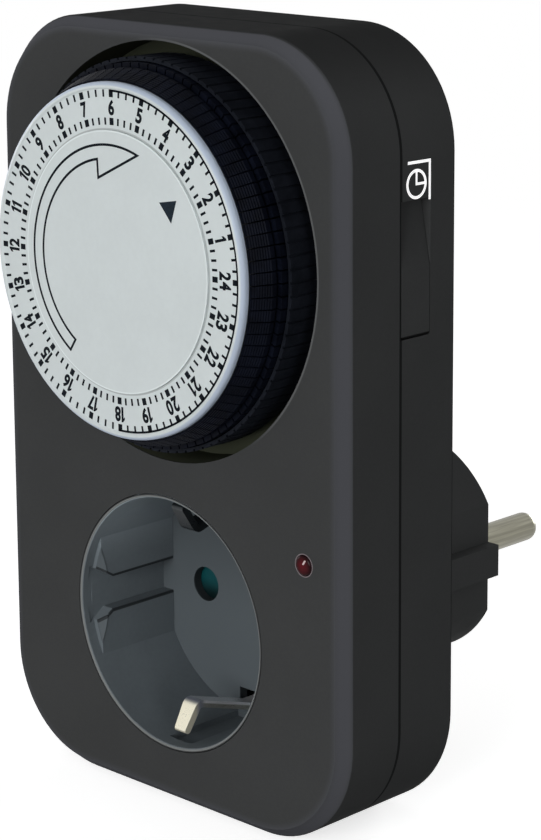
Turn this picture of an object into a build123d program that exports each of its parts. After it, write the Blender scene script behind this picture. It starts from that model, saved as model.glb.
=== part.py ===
from build123d import *
import os
from math import cos, pi, radians, sin, sqrt, tan

# Plug-in timer switch. Millimetres, +Z up, +X to the right of someone facing the dial.
# The front faces -Y and the plug reaches along +Y into the wall.
# The origin is at the middle of the plug's face, between its two pins.

# ---------------------------------------------------------------- driving dimensions
# Plug and socket, to the earthed 16 A standard
pin_spacing = 19.0
pin_diameter = 4.8
pin_length = 19.0
pin_tip_round = 1.9
pin_shoulder = 0.3           # pin's seat in the plug's face, wider than the pin by this on the radius
pin_flange = 1.0
pin_tail = 6.0
plug_diameter = 37.0
plug_across_flats = 32.4
plug_rib_width = 5.2
plug_rib_inset = 0.1         # ribs on the flats, in from the plug's full width
plug_reach = 32.5            # from the housing's back to the plug's face
plug_wall = 2.2
plug_face_thickness = 3.0
recess_diameter = 39.0
recess_across_flats = 34.0
recess_depth = 17.5
recess_groove_width = 5.4
recess_drop = 1.0            # socket's axis below the plug's axis
contact_hole_diameter = 5.6
groove_flare = 2.0           # guide grooves widen by this on each side
groove_flare_start = 1.2     # behind the housing's front
groove_flare_end = 4.4       # behind the housing's front
earth_notch_width = 5.0
earth_strip_start = 1.5      # plug's earth strips, in from the plug's face
earth_strip_inset = 0.5      # plug's earth strips, in from its full diameter
earth_strip_width = 6.0

# Housing
body_width = 73.0
body_height = 120.0
body_drop = 29.7             # bottom of the housing below the plug's axis
corner_radius = 17.5
front_shell_depth = 12.1
rear_shell_depth = 11.9
wall = 2.0
bevel_across = 1.6
bevel_deep = 2.0
rear_edge_round = 0.6
lip_thickness = 0.9
lip_height = 1.5
boss_inset = 9.5             # screw bosses in from the housing's straight sides
front_boss_radius = 2.6
rear_boss_radius = 3.4

# Dial well
dial_drop = 33.95            # dial's axis below the top of the housing
well_radius = 31.6
well_wall = 1.5
well_depth = 7.3
well_floor = 1.5
axle_boss_radius = 4.5
axle_boss_height = 5.5

# Dial
dial_axle_radius = 2.5
hub_radius = 5.0
hub_end_gap = 0.3
disc_radius = 26.4
disc_thickness = 2.5
disc_proud = 9.5             # front of the disc in front of the housing
bezel_width = 1.1
bezel_height = 0.25
bezel_round = 0.8
centre_radius = 19.45
centre_height = 0.25
cap_thickness = 0.5
drum_plate = 1.3
drum_wall = 1.9
drum_depth = 10.9
skirt_inner_radius = 28.85
skirt_outer_radius = 29.45
skirt_top = 2.9              # top of the skirt in front of the housing
skirt_notch_width = 0.4
skirt_notch_depth = 0.3
guide_top = 0.3              # top of the guides in front of the housing
screw_head_radius = 4.2
screw_head_height = 0.8
dial_screw_length = 8.0

# Riders, one for each quarter of an hour
riders_per_hour = 4
hours = 24
rider_travel = 2.4
rider_width = 1.6
stem_width = 1.1
rider_inner_radius = 26.52
head_tip_radius = 26.75
head_radius = 28.0
neck_radius = 27.4
shoulder_radius = 28.7
head_drop = 1.3              # heads behind the disc's front
head_cone_depth = 2.95
head_band_depth = 0.85
neck_depth = 0.4
shoulder_depth = 1.2
stem_depth = 7.1
head_ribs = 8
head_rib_depth = 0.14

# Gears
module = 0.5
ring_teeth = 90
pinion_teeth = 12
wheel_teeth = 48
tooth_addendum = 0.8         # in modules
tooth_dedendum = 1.25        # in modules
tooth_share = 0.4            # of the pitch, at the pitch circle
pressure_angle = 20.0
ring_gear_width = 2.0
wheel_thickness = 1.3
wheel_end_gap = 0.5          # wheel in front of the motor
idler_axle_radius = 1.0
motor_shaft_radius = 0.9

# Motor
motor_radius = 17.0
motor_depth = 10.0
motor_skin = 0.8
motor_rise = 8.65            # motor's middle above its output shaft
motor_ear_reach = 20.5
motor_ear_radius = 2.4
motor_ear_thickness = 1.0
rotor_radius = 7.2
rotor_axle_radius = 0.8
bearing_length = 0.8
coil_front_room = 0.8
coil_inner_radius = 8.6
coil_outer_radius = 15.6
inner_boss_radius = 2.2
inner_boss_height = 2.3
bridge_half_length = 18.0
bridge_width = 8.0
bridge_thickness = 1.0
bridge_boss_reach = 15.5

# Sensing lever and contacts
lever_reach = 27.0           # lever's middle from the dial's axis, under the riders' shoulders
lever_width = 3.0
lever_thickness = 1.6
lever_pivot_rise = 4.65      # lever's pivot above the dial's axis
lever_length = 18.5
lever_pin_radius = 0.8
lever_spring_wire = 0.3
lever_spring_turns = 3
lever_spring_leg = 3.0
nose_width = 1.8
nose_length_z = 1.6
lever_nub = 3.2
ear_thickness = 1.0
blade_width = 4.0
blade_thickness = 0.4
blade_length = 13.5
rivet_radius = 1.6
rivet_height = 0.8
blade_contact_rise = 7.0     # where the lever meets the blade, above the switch base
contact_gap = 2.3
switch_base_inside = 6.0     # switch base's inner end from the lever's middle
switch_base_gap = 1.5        # its outer end in from the housing's wall
switch_base_height = 5.0
bar_width = 4.0
bar_thickness = 0.8
bar_lane_rise = 10.0         # live bar's lane above the plug's axis
bar_lane_drop = 10.8         # switched bar's lane below it

# Rocker on the side
rocker_width = 6.0
rocker_half_height = 9.85
rocker_pivot_depth = 3.7
rocker_back = 1.0
rocker_angle = 10.0
rocker_rise = 0.4            # rocker's pivot above the dial's axis
trunnion_radius = 0.9
trunnion_length = 1.1

# Socket insert
cup_lip = 0.5
cup_wall = 1.6
cup_floor = 1.6
cup_flange = 1.5
cup_flange_thickness = 1.4
shutter_radius = 14.3
shutter_hub_radius = 4.2
shutter_thickness = 1.2
shutter_half_angle = 19.5
shutter_post_radius = 1.5
spring_wire = 0.5
spring_leg = 5.0
sleeve_length = 17.0
sleeve_wall = 0.75
sleeve_slit = 0.8
clip_width = 3.0
clip_thickness = 1.1
clip_leg = 17.7              # clip's leg from the socket's axis
clip_hump = 13.9             # clip's hump from the socket's axis
clip_hump_depth = 5.2        # hump behind the housing's front
clip_tip_depth = 2.9         # tip behind the housing's front
clip_tip_width = 2.2
earth_slot_inner = 15.3      # slots in the floor for the clips, from the socket's axis
earth_slot_outer = 18.5

# Indicator
lens_inset = 7.7             # lens in from the housing's side
lens_rise = 14.5
lens_radius = 1.6
lens_flange_radius = 3.0
lens_flange_thickness = 1.0
lens_proud = 0.3
lens_round = 0.5
lamp_radius = 2.9
lamp_length = 9.0
lamp_tube_wall = 1.0
lamp_lead = 4.0

# Screws
screw_radius = 1.3
housing_screw_head = 2.5
housing_screw_head_height = 1.6
housing_screw_length = 14.0
housing_screw_sink = 4.0
small_screw_radius = 0.85
small_screw_head = 1.9
small_screw_head_height = 1.0
small_screw_length = 2.8
recess_cross = 0.6           # width of the cross in a screw's head
recess_reach = 1.3           # length of the cross, in head radii

# Clearances
running_gap = 0.05           # shaft in its bore, on the radius
face_gap = 0.1               # flat faces that slide past each other
part_gap = 0.15              # moulded pieces that fit into each other
shell_gap = 0.3              # between pieces that must not touch

# ---------------------------------------------------------------- stations and centres
rear_y = -plug_reach
split_y = rear_y - rear_shell_depth
front_y = split_y - front_shell_depth
inner_front_y = front_y + wall
inner_rear_y = rear_y - wall
body_z = body_height / 2 - body_drop
dial_z = body_height - body_drop - dial_drop
socket_z = -recess_drop
side_x = body_width / 2
well_floor_y = front_y + well_depth
well_back_y = well_floor_y + well_floor
recess_floor_y = front_y + recess_depth
cup_back_y = recess_floor_y + cup_floor

disc_front_y = front_y - disc_proud
disc_back_y = disc_front_y + disc_thickness
drum_back_y = disc_back_y + drum_depth
drum_outer_radius = rider_inner_radius - part_gap
drum_inner_radius = drum_outer_radius - drum_wall
skirt_top_y = front_y - skirt_top
guide_top_y = front_y - guide_top
drum_rider_tail_y = (disc_front_y + head_drop + head_cone_depth + head_band_depth + neck_depth
                     + shoulder_depth + stem_depth)

ring_pitch_radius = module * ring_teeth / 2
pinion_pitch_radius = module * pinion_teeth / 2
wheel_pitch_radius = module * wheel_teeth / 2
ring_root_radius = ring_pitch_radius + module * tooth_dedendum
idler_z = dial_z - (ring_pitch_radius - pinion_pitch_radius)
output_z = idler_z + wheel_pitch_radius + pinion_pitch_radius
motor_z = output_z + motor_rise
boss_top_y = well_back_y + inner_boss_height
wheel_back_y = boss_top_y - wheel_end_gap
wheel_front_y = wheel_back_y - wheel_thickness

boss_x = body_width / 2 - boss_inset
boss_offset_z = body_height / 2 - boss_inset
rocker_z = dial_z + rocker_rise
rocker_x = side_x - rocker_pivot_depth
rocker_radius = sqrt(rocker_pivot_depth**2 + rocker_half_height**2)
rocker_back_y = split_y + part_gap + rocker_width
lever_pivot_z = dial_z + lever_pivot_rise
lever_x = lever_reach
lens_x = side_x - lens_inset
lens_z = lens_rise


def across(y):
    """Plane across the depth at y, seen from the front. Extruding from it goes forwards."""
    return Plane.XZ.offset(-y)


def lengthwise(x):
    """Plane along the side at x, with depth along its first axis and height along its second."""
    return Plane(origin=(x, 0, 0), x_dir=(0, 1, 0), z_dir=(1, 0, 0))


def section(x, z, turn=0.0):
    """Plane of radius and depth of a piece that turns about the line along Y through x, z."""
    angle = radians(turn)
    return Plane(origin=(x, 0, z), x_dir=(cos(angle), 0, sin(angle)), z_dir=(-sin(angle), 0, cos(angle)))


def turning(x, z):
    """Axis along Y through x, z."""
    return Axis((x, 0, z), (0, 1, 0))


def four_bosses():
    """Places of the four housing screws, across the depth."""
    return [(sx * boss_x, body_z + sz * boss_offset_z) for sx in (-1, 1) for sz in (-1, 1)]


def finish(piece, name):
    """Names the piece and writes it to its own file."""
    piece.part.label = name
    export_step(piece.part, f"parts/{name}.step")


os.makedirs("parts", exist_ok=True)

# ---------------------------------------------------------------- front shell
with BuildPart() as front_shell:
    with BuildSketch(across(split_y)):
        with Locations((0, body_z)):
            RectangleRounded(body_width, body_height, corner_radius)
    extrude(amount=front_shell_depth)
    front_face = front_shell.faces().sort_by(Axis.Y)[0]
    chamfer(front_face.edges(), length=bevel_across, length2=bevel_deep, reference=front_face)
    with BuildSketch(across(split_y)):
        with Locations((0, body_z)):
            RectangleRounded(body_width - 2 * wall, body_height - 2 * wall, corner_radius - wall)
    extrude(amount=front_shell_depth - wall, mode=Mode.SUBTRACT)
    # dial well: a tube behind the front, closed by a floor
    with BuildSketch(across(well_back_y)):
        with Locations((0, dial_z)):
            Circle(well_radius + well_wall)
        with Locations((0, body_z)):
            RectangleRounded(body_width - wall, body_height - wall, corner_radius - wall / 2,
                             mode=Mode.INTERSECT)
    extrude(amount=well_back_y - inner_front_y)
    with BuildSketch(across(well_floor_y)):
        with Locations((0, dial_z)):
            Circle(well_radius)
            Circle(axle_boss_radius, mode=Mode.SUBTRACT)
    extrude(amount=well_depth, mode=Mode.SUBTRACT)
    with BuildSketch(across(well_floor_y - axle_boss_height)):
        with Locations((0, dial_z)):
            Circle(axle_boss_radius)
    extrude(amount=well_depth - axle_boss_height, mode=Mode.SUBTRACT)
    with BuildSketch(across(well_back_y)):
        with Locations((0, dial_z)):
            Circle(dial_axle_radius)
        with Locations((0, idler_z)):
            Circle(pinion_pitch_radius + module * tooth_addendum + shell_gap)
    extrude(amount=well_depth + well_floor, mode=Mode.SUBTRACT)
    # bosses for the motor and the gear bridge, behind the floor
    with BuildSketch(across(boss_top_y)):
        with Locations((-motor_ear_reach, motor_z), (motor_ear_reach, motor_z),
                       (-bridge_boss_reach, idler_z), (bridge_boss_reach, idler_z)):
            Circle(inner_boss_radius)
    extrude(amount=inner_boss_height)
    with BuildSketch(across(boss_top_y)):
        with Locations((-motor_ear_reach, motor_z), (motor_ear_reach, motor_z),
                       (-bridge_boss_reach, idler_z), (bridge_boss_reach, idler_z)):
            Circle(small_screw_radius + running_gap)
    extrude(amount=small_screw_length, mode=Mode.SUBTRACT)
    # housing screw bosses
    with BuildSketch(across(split_y)):
        with Locations(*four_bosses()):
            Circle(front_boss_radius)
    extrude(amount=split_y - inner_front_y)
    with BuildSketch(across(split_y)):
        with Locations(*four_bosses()):
            Circle(screw_radius + running_gap)
    extrude(amount=split_y - inner_front_y - wall / 2, mode=Mode.SUBTRACT)
    # opening for the socket insert and for the indicator
    with BuildSketch(across(inner_front_y)):
        with Locations((0, socket_z)):
            Circle(recess_diameter / 2 + cup_lip + part_gap)
        with Locations((lens_x, lens_z)):
            Circle(lens_radius + face_gap)
    extrude(amount=wall, mode=Mode.SUBTRACT)
    # tube that holds the neon lamp behind the indicator
    with BuildSketch(across(inner_front_y + lens_flange_thickness + lamp_length)):
        with Locations((lens_x, lens_z)):
            Circle(lens_flange_radius + part_gap + lamp_tube_wall)
            Circle(lens_flange_radius + part_gap, mode=Mode.SUBTRACT)
    extrude(amount=lens_flange_thickness + lamp_length)
    # slot for the lever's nose and ears for its pins
    nose_drop = sqrt(((rider_inner_radius + shoulder_radius) / 2) ** 2 - lever_x**2)
    nose_z = dial_z - nose_drop
    with BuildSketch(across(well_back_y)):
        with Locations((lever_x, nose_z)):
            Rectangle(nose_width + 2 * shell_gap, nose_length_z + 4 * shell_gap)
    extrude(amount=well_floor, mode=Mode.SUBTRACT)
    ear_offset = lever_width / 2 + face_gap + ear_thickness / 2
    lever_pivot_y = well_back_y + shell_gap + lever_thickness / 2 + lever_pin_radius
    with BuildSketch(across(lever_pivot_y + 2 * lever_pin_radius)):
        with Locations((lever_x - ear_offset, lever_pivot_z), (lever_x + ear_offset, lever_pivot_z)):
            Rectangle(ear_thickness, 4 * lever_pin_radius)
    extrude(amount=lever_pivot_y + 2 * lever_pin_radius - well_back_y)
    with BuildSketch(lengthwise(lever_x)):
        with Locations((lever_pivot_y, lever_pivot_z)):
            Circle(lever_pin_radius + running_gap)
    extrude(amount=ear_offset + ear_thickness, both=True, mode=Mode.SUBTRACT)
    # ear for the rocker's front trunnion
    rocker_front_y = split_y + part_gap
    with BuildSketch(across(rocker_front_y - part_gap)):
        with Locations(((rocker_x + side_x - wall - 2 * trunnion_radius) / 2, rocker_z)):
            Rectangle(side_x - wall - rocker_x + 2 * trunnion_radius, 6 * trunnion_radius)
    extrude(amount=trunnion_length + face_gap)
    with BuildSketch(across(rocker_front_y - part_gap)):
        with Locations((rocker_x, rocker_z)):
            Circle(trunnion_radius + running_gap)
    extrude(amount=trunnion_length + face_gap, mode=Mode.SUBTRACT)
finish(front_shell, "front_shell")

# ---------------------------------------------------------------- rear shell
earth_strip_outer = plug_diameter / 2 - earth_strip_inset


def plug_outline(clear):
    """The plug's outline, drawn in by clear, in the sketch that is being made."""
    Circle(plug_diameter / 2 - clear)
    Rectangle(plug_across_flats - 2 * clear, plug_diameter, mode=Mode.INTERSECT)


def housing_outline(inset, mode=Mode.ADD):
    """The housing's outline, drawn in by inset, in the sketch that is being made."""
    RectangleRounded(body_width - 2 * inset, body_height - 2 * inset, corner_radius - inset, mode=mode)


with BuildPart() as rear_shell:
    with BuildSketch(across(rear_y)):
        with Locations((0, body_z)):
            RectangleRounded(body_width, body_height, corner_radius)
    extrude(amount=rear_shell_depth)
    rear_face = rear_shell.faces().sort_by(Axis.Y)[-1]
    fillet(rear_face.edges(), rear_edge_round)
    with BuildSketch(across(inner_rear_y)):
        with Locations((0, body_z)):
            RectangleRounded(body_width - 2 * wall, body_height - 2 * wall, corner_radius - wall)
    extrude(amount=rear_shell_depth - wall, mode=Mode.SUBTRACT)
    # lip that reaches into the front shell, left out beside the rocker
    for lip_out, lip_start, lip_end in ((wall / 2, split_y + 2 * lip_height, split_y),
                                        (wall + part_gap, split_y, split_y - lip_height)):
        with BuildSketch(across(lip_start)):
            with Locations((0, body_z)):
                housing_outline(lip_out)
                housing_outline(wall + part_gap + lip_thickness, mode=Mode.SUBTRACT)
            with Locations((side_x - wall, rocker_z)):
                Rectangle(4 * wall, 2 * rocker_radius + 4 * part_gap, mode=Mode.SUBTRACT)
        extrude(amount=lip_start - lip_end)
    # screw bosses with sunk heads
    with BuildSketch(across(rear_y - wall / 2)):
        with Locations(*four_bosses()):
            Circle(rear_boss_radius)
    extrude(amount=rear_shell_depth - wall / 2)
    with BuildSketch(across(rear_y)):
        with Locations(*four_bosses()):
            Circle(screw_radius + shell_gap)
    extrude(amount=rear_shell_depth, mode=Mode.SUBTRACT)
    with BuildSketch(across(rear_y)):
        with Locations(*four_bosses()):
            Circle(housing_screw_head + part_gap)
    extrude(amount=housing_screw_sink, mode=Mode.SUBTRACT)
    # opening that the plug's shell is seated in, with a bay for the earth strip above and below
    with BuildSketch(across(rear_y)):
        plug_outline(plug_wall / 2 - part_gap)
        for side in (-1, 1):
            with Locations((0, side * (earth_strip_outer - bar_thickness / 2))):
                Rectangle(earth_strip_width + 2 * face_gap, bar_thickness + 2 * face_gap)
    extrude(amount=wall, mode=Mode.SUBTRACT)
    # posts that carry the socket insert
    post_ring = recess_diameter / 2
    with BuildSketch(across(inner_rear_y)):
        with Locations((0, socket_z)):
            with PolarLocations(post_ring, 4, start_angle=45):
                Circle(cup_wall)
    extrude(amount=inner_rear_y - cup_back_y)
    # rocker's opening, barrel shaped about its pivot, with the rear ear
    with BuildSketch(across(rocker_back_y + part_gap)):
        with Locations((rocker_x, rocker_z)):
            Circle(rocker_radius + part_gap)
        with Locations((side_x, rocker_z)):
            Rectangle(2 * wall + part_gap, 3 * rocker_radius, mode=Mode.INTERSECT)
    extrude(amount=rocker_width + 2 * part_gap, mode=Mode.SUBTRACT)
    rear_ear_y = rocker_back_y + part_gap + trunnion_length
    with BuildSketch(across(rear_ear_y)):
        with Locations(((rocker_x + side_x - wall - 2 * trunnion_radius) / 2, rocker_z)):
            Rectangle(side_x - wall - rocker_x + 2 * trunnion_radius, 6 * trunnion_radius)
    extrude(amount=trunnion_length)
    with BuildSketch(across(rear_ear_y)):
        with Locations((rocker_x, rocker_z)):
            Circle(trunnion_radius + running_gap)
    extrude(amount=trunnion_length, mode=Mode.SUBTRACT)
finish(rear_shell, "rear_shell")

# ---------------------------------------------------------------- plug's shell
with BuildPart() as plug_shell:
    # tube that stands on the housing's back, with a rib on each flat
    with BuildSketch(across(0)):
        plug_outline(0)
        Rectangle(plug_diameter - 2 * plug_rib_inset, plug_rib_width)
    extrude(amount=plug_reach)
    # narrower spigot in the back's opening
    with BuildSketch(across(rear_y)):
        plug_outline(plug_wall / 2)
    extrude(amount=wall - face_gap)
    # notch for the earth strip above and below
    with BuildSketch(across(0)):
        for side in (-1, 1):
            with Locations((0, side * plug_diameter / 2)):
                Rectangle(earth_strip_width + 2 * part_gap,
                          2 * (plug_diameter / 2 - earth_strip_outer + bar_thickness + face_gap))
    extrude(amount=plug_reach + wall, mode=Mode.SUBTRACT)
    with BuildSketch(across(-plug_face_thickness)):
        plug_outline(plug_wall)
        for side in (-1, 1):
            with Locations((0, side * plug_diameter / 2)):
                Rectangle(earth_strip_width + 2 * part_gap + 2 * plug_wall,
                          2 * (plug_diameter / 2 - earth_strip_outer + bar_thickness + plug_wall / 2),
                          mode=Mode.SUBTRACT)
    extrude(amount=plug_reach + wall - plug_face_thickness, mode=Mode.SUBTRACT)
    with BuildSketch(across(0)):
        with Locations((-pin_spacing / 2, 0), (pin_spacing / 2, 0)):
            Circle(pin_diameter / 2 + pin_shoulder + running_gap)
    extrude(amount=plug_face_thickness, mode=Mode.SUBTRACT)
finish(plug_shell, "plug_shell")

# ---------------------------------------------------------------- socket insert
recess_radius = recess_diameter / 2
flat_x = recess_across_flats / 2
lead_in_y = front_y + 2 * cup_lip
with BuildPart() as socket_cup:
    with BuildSketch(section(0, socket_z)):
        with BuildLine():
            Polyline(
                (0, recess_floor_y),
                (recess_radius, recess_floor_y),
                (recess_radius, front_y + cup_lip / 2),
                (recess_radius + cup_lip / 2, front_y),
                (recess_radius + cup_lip, front_y),
                (recess_radius + cup_lip, inner_front_y),
                (recess_radius + cup_wall + cup_flange, inner_front_y),
                (recess_radius + cup_wall + cup_flange, inner_front_y + cup_flange_thickness),
                (recess_radius + cup_wall, inner_front_y + cup_flange_thickness),
                (recess_radius + cup_wall, cup_back_y),
                (0, cup_back_y),
                close=True,
            )
        make_face()
    revolve(axis=turning(0, socket_z))
    # flat cheeks left and right, each with a guide groove, and a cone that leads in past them
    with BuildSketch(across(recess_floor_y)):
        with Locations((0, socket_z)):
            Circle(recess_radius + cup_wall / 2)
            Rectangle(recess_across_flats, 4 * recess_radius, mode=Mode.SUBTRACT)
    extrude(amount=recess_depth - wall)
    with BuildSketch(section(0, socket_z)):
        with BuildLine():
            Polyline(
                (flat_x - cup_lip, front_y + cup_lip),
                (recess_radius, front_y + cup_lip),
                (recess_radius, lead_in_y),
                (flat_x, lead_in_y + recess_radius - flat_x),
                (flat_x - cup_lip, lead_in_y + recess_radius - flat_x),
                close=True,
            )
        make_face()
    revolve(axis=turning(0, socket_z), mode=Mode.SUBTRACT)
    for side in (-1, 1):
        with BuildSketch(lengthwise(side * (flat_x - cup_lip))):
            with BuildLine():
                groove = recess_groove_width / 2
                flare = groove + groove_flare
                Polyline(
                    (recess_floor_y, socket_z - groove),
                    (front_y + groove_flare_end, socket_z - groove),
                    (front_y + groove_flare_start, socket_z - flare),
                    (front_y + groove_flare_start, socket_z + flare),
                    (front_y + groove_flare_end, socket_z + groove),
                    (recess_floor_y, socket_z + groove),
                    close=True,
                )
            make_face()
        extrude(amount=side * (recess_radius - flat_x + cup_lip - face_gap), mode=Mode.SUBTRACT)
    # contact holes, and slots and notches for the earth clips
    with BuildSketch(across(cup_back_y)):
        with Locations((-pin_spacing / 2, socket_z), (pin_spacing / 2, socket_z)):
            Circle(contact_hole_diameter / 2)
        for side in (-1, 1):
            with Locations((0, socket_z + side * (earth_slot_inner + earth_slot_outer) / 2)):
                Rectangle(clip_width + 4 * shell_gap, earth_slot_outer - earth_slot_inner)
    extrude(amount=cup_floor, mode=Mode.SUBTRACT)
    with BuildSketch(across(recess_floor_y)):
        for side in (-1, 1):
            with Locations((0, socket_z + side * recess_radius)):
                Rectangle(earth_notch_width, cup_wall)
    extrude(amount=recess_depth - wall - cup_lip, mode=Mode.SUBTRACT)
    # post behind the floor that the shutter turns on
    with BuildSketch(across(inner_rear_y - face_gap)):
        with Locations((0, socket_z)):
            Circle(shutter_post_radius)
    extrude(amount=inner_rear_y - face_gap - cup_back_y)
finish(socket_cup, "socket_cup")

# ---------------------------------------------------------------- shutter behind the contact holes
shutter_front_y = cup_back_y + face_gap
shutter_back_y = shutter_front_y + shutter_thickness
clip_plate_back_y = inner_rear_y - face_gap
clip_plate_front_y = clip_plate_back_y - bar_thickness
with BuildPart() as socket_shutter:
    lobe_reach = 2 * shutter_radius
    lobe_rise = lobe_reach * tan(radians(shutter_half_angle))
    with BuildSketch(across(shutter_back_y)):
        with Locations((0, socket_z)):
            Polygon((0, 0), (lobe_reach, -lobe_rise), (lobe_reach, lobe_rise), align=None)
            Polygon((0, 0), (-lobe_reach, lobe_rise), (-lobe_reach, -lobe_rise), align=None)
            Circle(shutter_radius, mode=Mode.INTERSECT)
            Circle(shutter_hub_radius)
            Circle(shutter_post_radius + running_gap, mode=Mode.SUBTRACT)
    extrude(amount=shutter_thickness)
finish(socket_shutter, "socket_shutter")

# A one-turn spring around the shutter's post, with a leg to each side
with BuildPart() as shutter_spring:
    spring_inner = shutter_post_radius + shell_gap
    with BuildSketch(across(clip_plate_front_y)):
        with Locations((0, socket_z)):
            Circle(spring_inner + spring_wire)
            Circle(spring_inner, mode=Mode.SUBTRACT)
        with Locations((spring_leg / 2, socket_z + spring_inner + spring_wire / 2),
                       (-spring_leg / 2, socket_z + spring_inner + spring_wire / 2)):
            Rectangle(spring_leg, spring_wire)
    extrude(amount=spring_wire)
finish(shutter_spring, "shutter_spring")

# ---------------------------------------------------------------- current-carrying pieces
sleeve_front_y = clip_plate_front_y
sleeve_back_y = sleeve_front_y + sleeve_length
sleeve_bore = pin_diameter / 2 + running_gap
with BuildPart() as socket_contacts:
    with BuildSketch(across(sleeve_back_y)):
        with Locations((-pin_spacing / 2, socket_z), (pin_spacing / 2, socket_z)):
            Circle(sleeve_bore + sleeve_wall)
    extrude(amount=sleeve_length)
    with BuildSketch(across(sleeve_back_y - sleeve_wall)):
        with Locations((-pin_spacing / 2, socket_z), (pin_spacing / 2, socket_z)):
            Circle(sleeve_bore)
    extrude(amount=sleeve_length - sleeve_wall, mode=Mode.SUBTRACT)
    with BuildSketch(across(sleeve_back_y - 4 * sleeve_wall)):
        with Locations((-pin_spacing / 2, socket_z), (pin_spacing / 2, socket_z)):
            Rectangle(sleeve_slit, 3 * sleeve_bore)
    extrude(amount=sleeve_length - 4 * sleeve_wall, mode=Mode.SUBTRACT)
finish(socket_contacts, "socket_contacts")

with BuildPart() as earth_clips:
    plate_top = earth_strip_outer
    plate_bottom = socket_z - clip_leg - clip_thickness / 2
    with BuildSketch(across(clip_plate_back_y)):
        with Locations((0, (plate_top + plate_bottom) / 2)):
            Rectangle(clip_width, plate_top - plate_bottom)
        with Locations((0, socket_z)):
            Circle(shutter_post_radius + clip_thickness)
            Circle(shutter_post_radius + running_gap, mode=Mode.SUBTRACT)
    extrude(amount=bar_thickness)
    for side in (-1, 1):
        with BuildSketch(lengthwise(-clip_width / 2)):
            with BuildLine():
                FilletPolyline(
                    (clip_plate_back_y - clip_thickness / 2, socket_z + side * clip_leg),
                    (recess_floor_y, socket_z + side * clip_leg),
                    (front_y + clip_hump_depth, socket_z + side * clip_hump),
                    (front_y + clip_tip_depth, socket_z + side * clip_leg),
                    radius=clip_thickness,
                )
                offset(amount=clip_thickness / 2)
            make_face()
        extrude(amount=clip_width)
    # tips that taper in front of the hump
    hump_y = front_y + clip_hump_depth
    for side in (-1, 1):
        with BuildSketch(Plane.XY.offset(socket_z)):
            Polygon(
                (side * clip_width / 2, hump_y),
                (side * clip_tip_width / 2, front_y + clip_tip_depth - clip_thickness),
                (side * clip_width, front_y + clip_tip_depth - clip_thickness),
                (side * clip_width, hump_y),
                align=None,
            )
        extrude(amount=clip_leg + clip_thickness, both=True, mode=Mode.SUBTRACT)
finish(earth_clips, "earth_clips")

pin_tail_y = -plug_face_thickness - pin_tail
with BuildPart() as plug_pins:
    for side in (-1, 1):
        with BuildSketch(section(side * pin_spacing / 2, 0)):
            with BuildLine():
                radius = pin_diameter / 2
                Polyline(
                    (radius, pin_length),
                    (radius, 0),
                    (radius + pin_shoulder, 0),
                    (radius + pin_shoulder, -plug_face_thickness),
                    (radius + pin_flange, -plug_face_thickness),
                    (radius + pin_flange, -plug_face_thickness - pin_flange),
                    (radius - shell_gap, -plug_face_thickness - pin_flange),
                    (radius - shell_gap, pin_tail_y),
                    (0, pin_tail_y),
                    (0, pin_length),
                    close=True,
                )
            make_face()
        revolve(axis=turning(side * pin_spacing / 2, 0))
    fillet(plug_pins.edges().filter_by(GeomType.CIRCLE).group_by(Axis.Y)[-1], pin_tip_round)
finish(plug_pins, "plug_pins")

with BuildPart() as plug_earth:
    with BuildSketch(across(-earth_strip_start)):
        for side in (-1, 1):
            with Locations((0, side * (earth_strip_outer - bar_thickness / 2))):
                Rectangle(earth_strip_width, bar_thickness)
    extrude(amount=-clip_plate_back_y - earth_strip_start)
finish(plug_earth, "plug_earth")


def slab(x_range, y_range, z_range):
    """Adds a block between the limits along each axis to the part that is being made."""
    middle = [(low + high) / 2 for low, high in (x_range, y_range, z_range)]
    size = [high - low for low, high in (x_range, y_range, z_range)]
    with Locations(tuple(middle)):
        Box(*size)


def across_bar(x):
    """Limits along X of a bar whose middle is at x."""
    return (x - bar_width / 2, x + bar_width / 2)


bar_back_y = inner_rear_y - 2 * running_gap - shell_gap - face_gap
bar_front_y = bar_back_y - bar_thickness
contact_x = pin_spacing / 2
with BuildPart() as neutral_bar:
    lane = bar_width / 2
    slab(across_bar(-contact_x), (sleeve_back_y, sleeve_back_y + bar_thickness), (socket_z - lane, lane))
    slab(across_bar(-contact_x), (sleeve_back_y, pin_tail_y), (lane - bar_thickness, lane))
    slab(across_bar(-contact_x), (pin_tail_y - bar_thickness, pin_tail_y), (-lane, lane))
finish(neutral_bar, "neutral_bar")

base_x = (lever_x - switch_base_inside, side_x - wall - switch_base_gap)
base_top_z = lever_pivot_z - lever_length - blade_contact_rise
base_z = (base_top_z - switch_base_height, base_top_z)
blade_back_y = lever_pivot_y + lever_thickness / 2 + lever_nub + part_gap + blade_thickness
blade_front_y = blade_back_y - blade_thickness
fixed_front_y = blade_back_y + rivet_height + contact_gap + rivet_height
rivet_z = base_top_z + blade_contact_rise + rivet_radius

with BuildPart() as live_bar_in:
    lane = bar_lane_rise
    turn_z = base_z[0] - bar_width
    slab(across_bar(contact_x), (pin_tail_y - bar_thickness, pin_tail_y), (-bar_width / 2, lane))
    slab(across_bar(contact_x), (bar_front_y, pin_tail_y), (lane - bar_thickness, lane))
    slab(across_bar(contact_x), (bar_front_y, bar_back_y), (lane - bar_thickness, turn_z))
    slab((contact_x - bar_width / 2, base_x[0] + bar_width), (bar_front_y, bar_back_y),
         (turn_z - bar_width, turn_z))
    slab((base_x[0], base_x[0] + bar_width), (bar_front_y, bar_back_y),
         (turn_z - bar_width, base_top_z + bar_thickness))
finish(live_bar_in, "live_bar_in")

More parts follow.
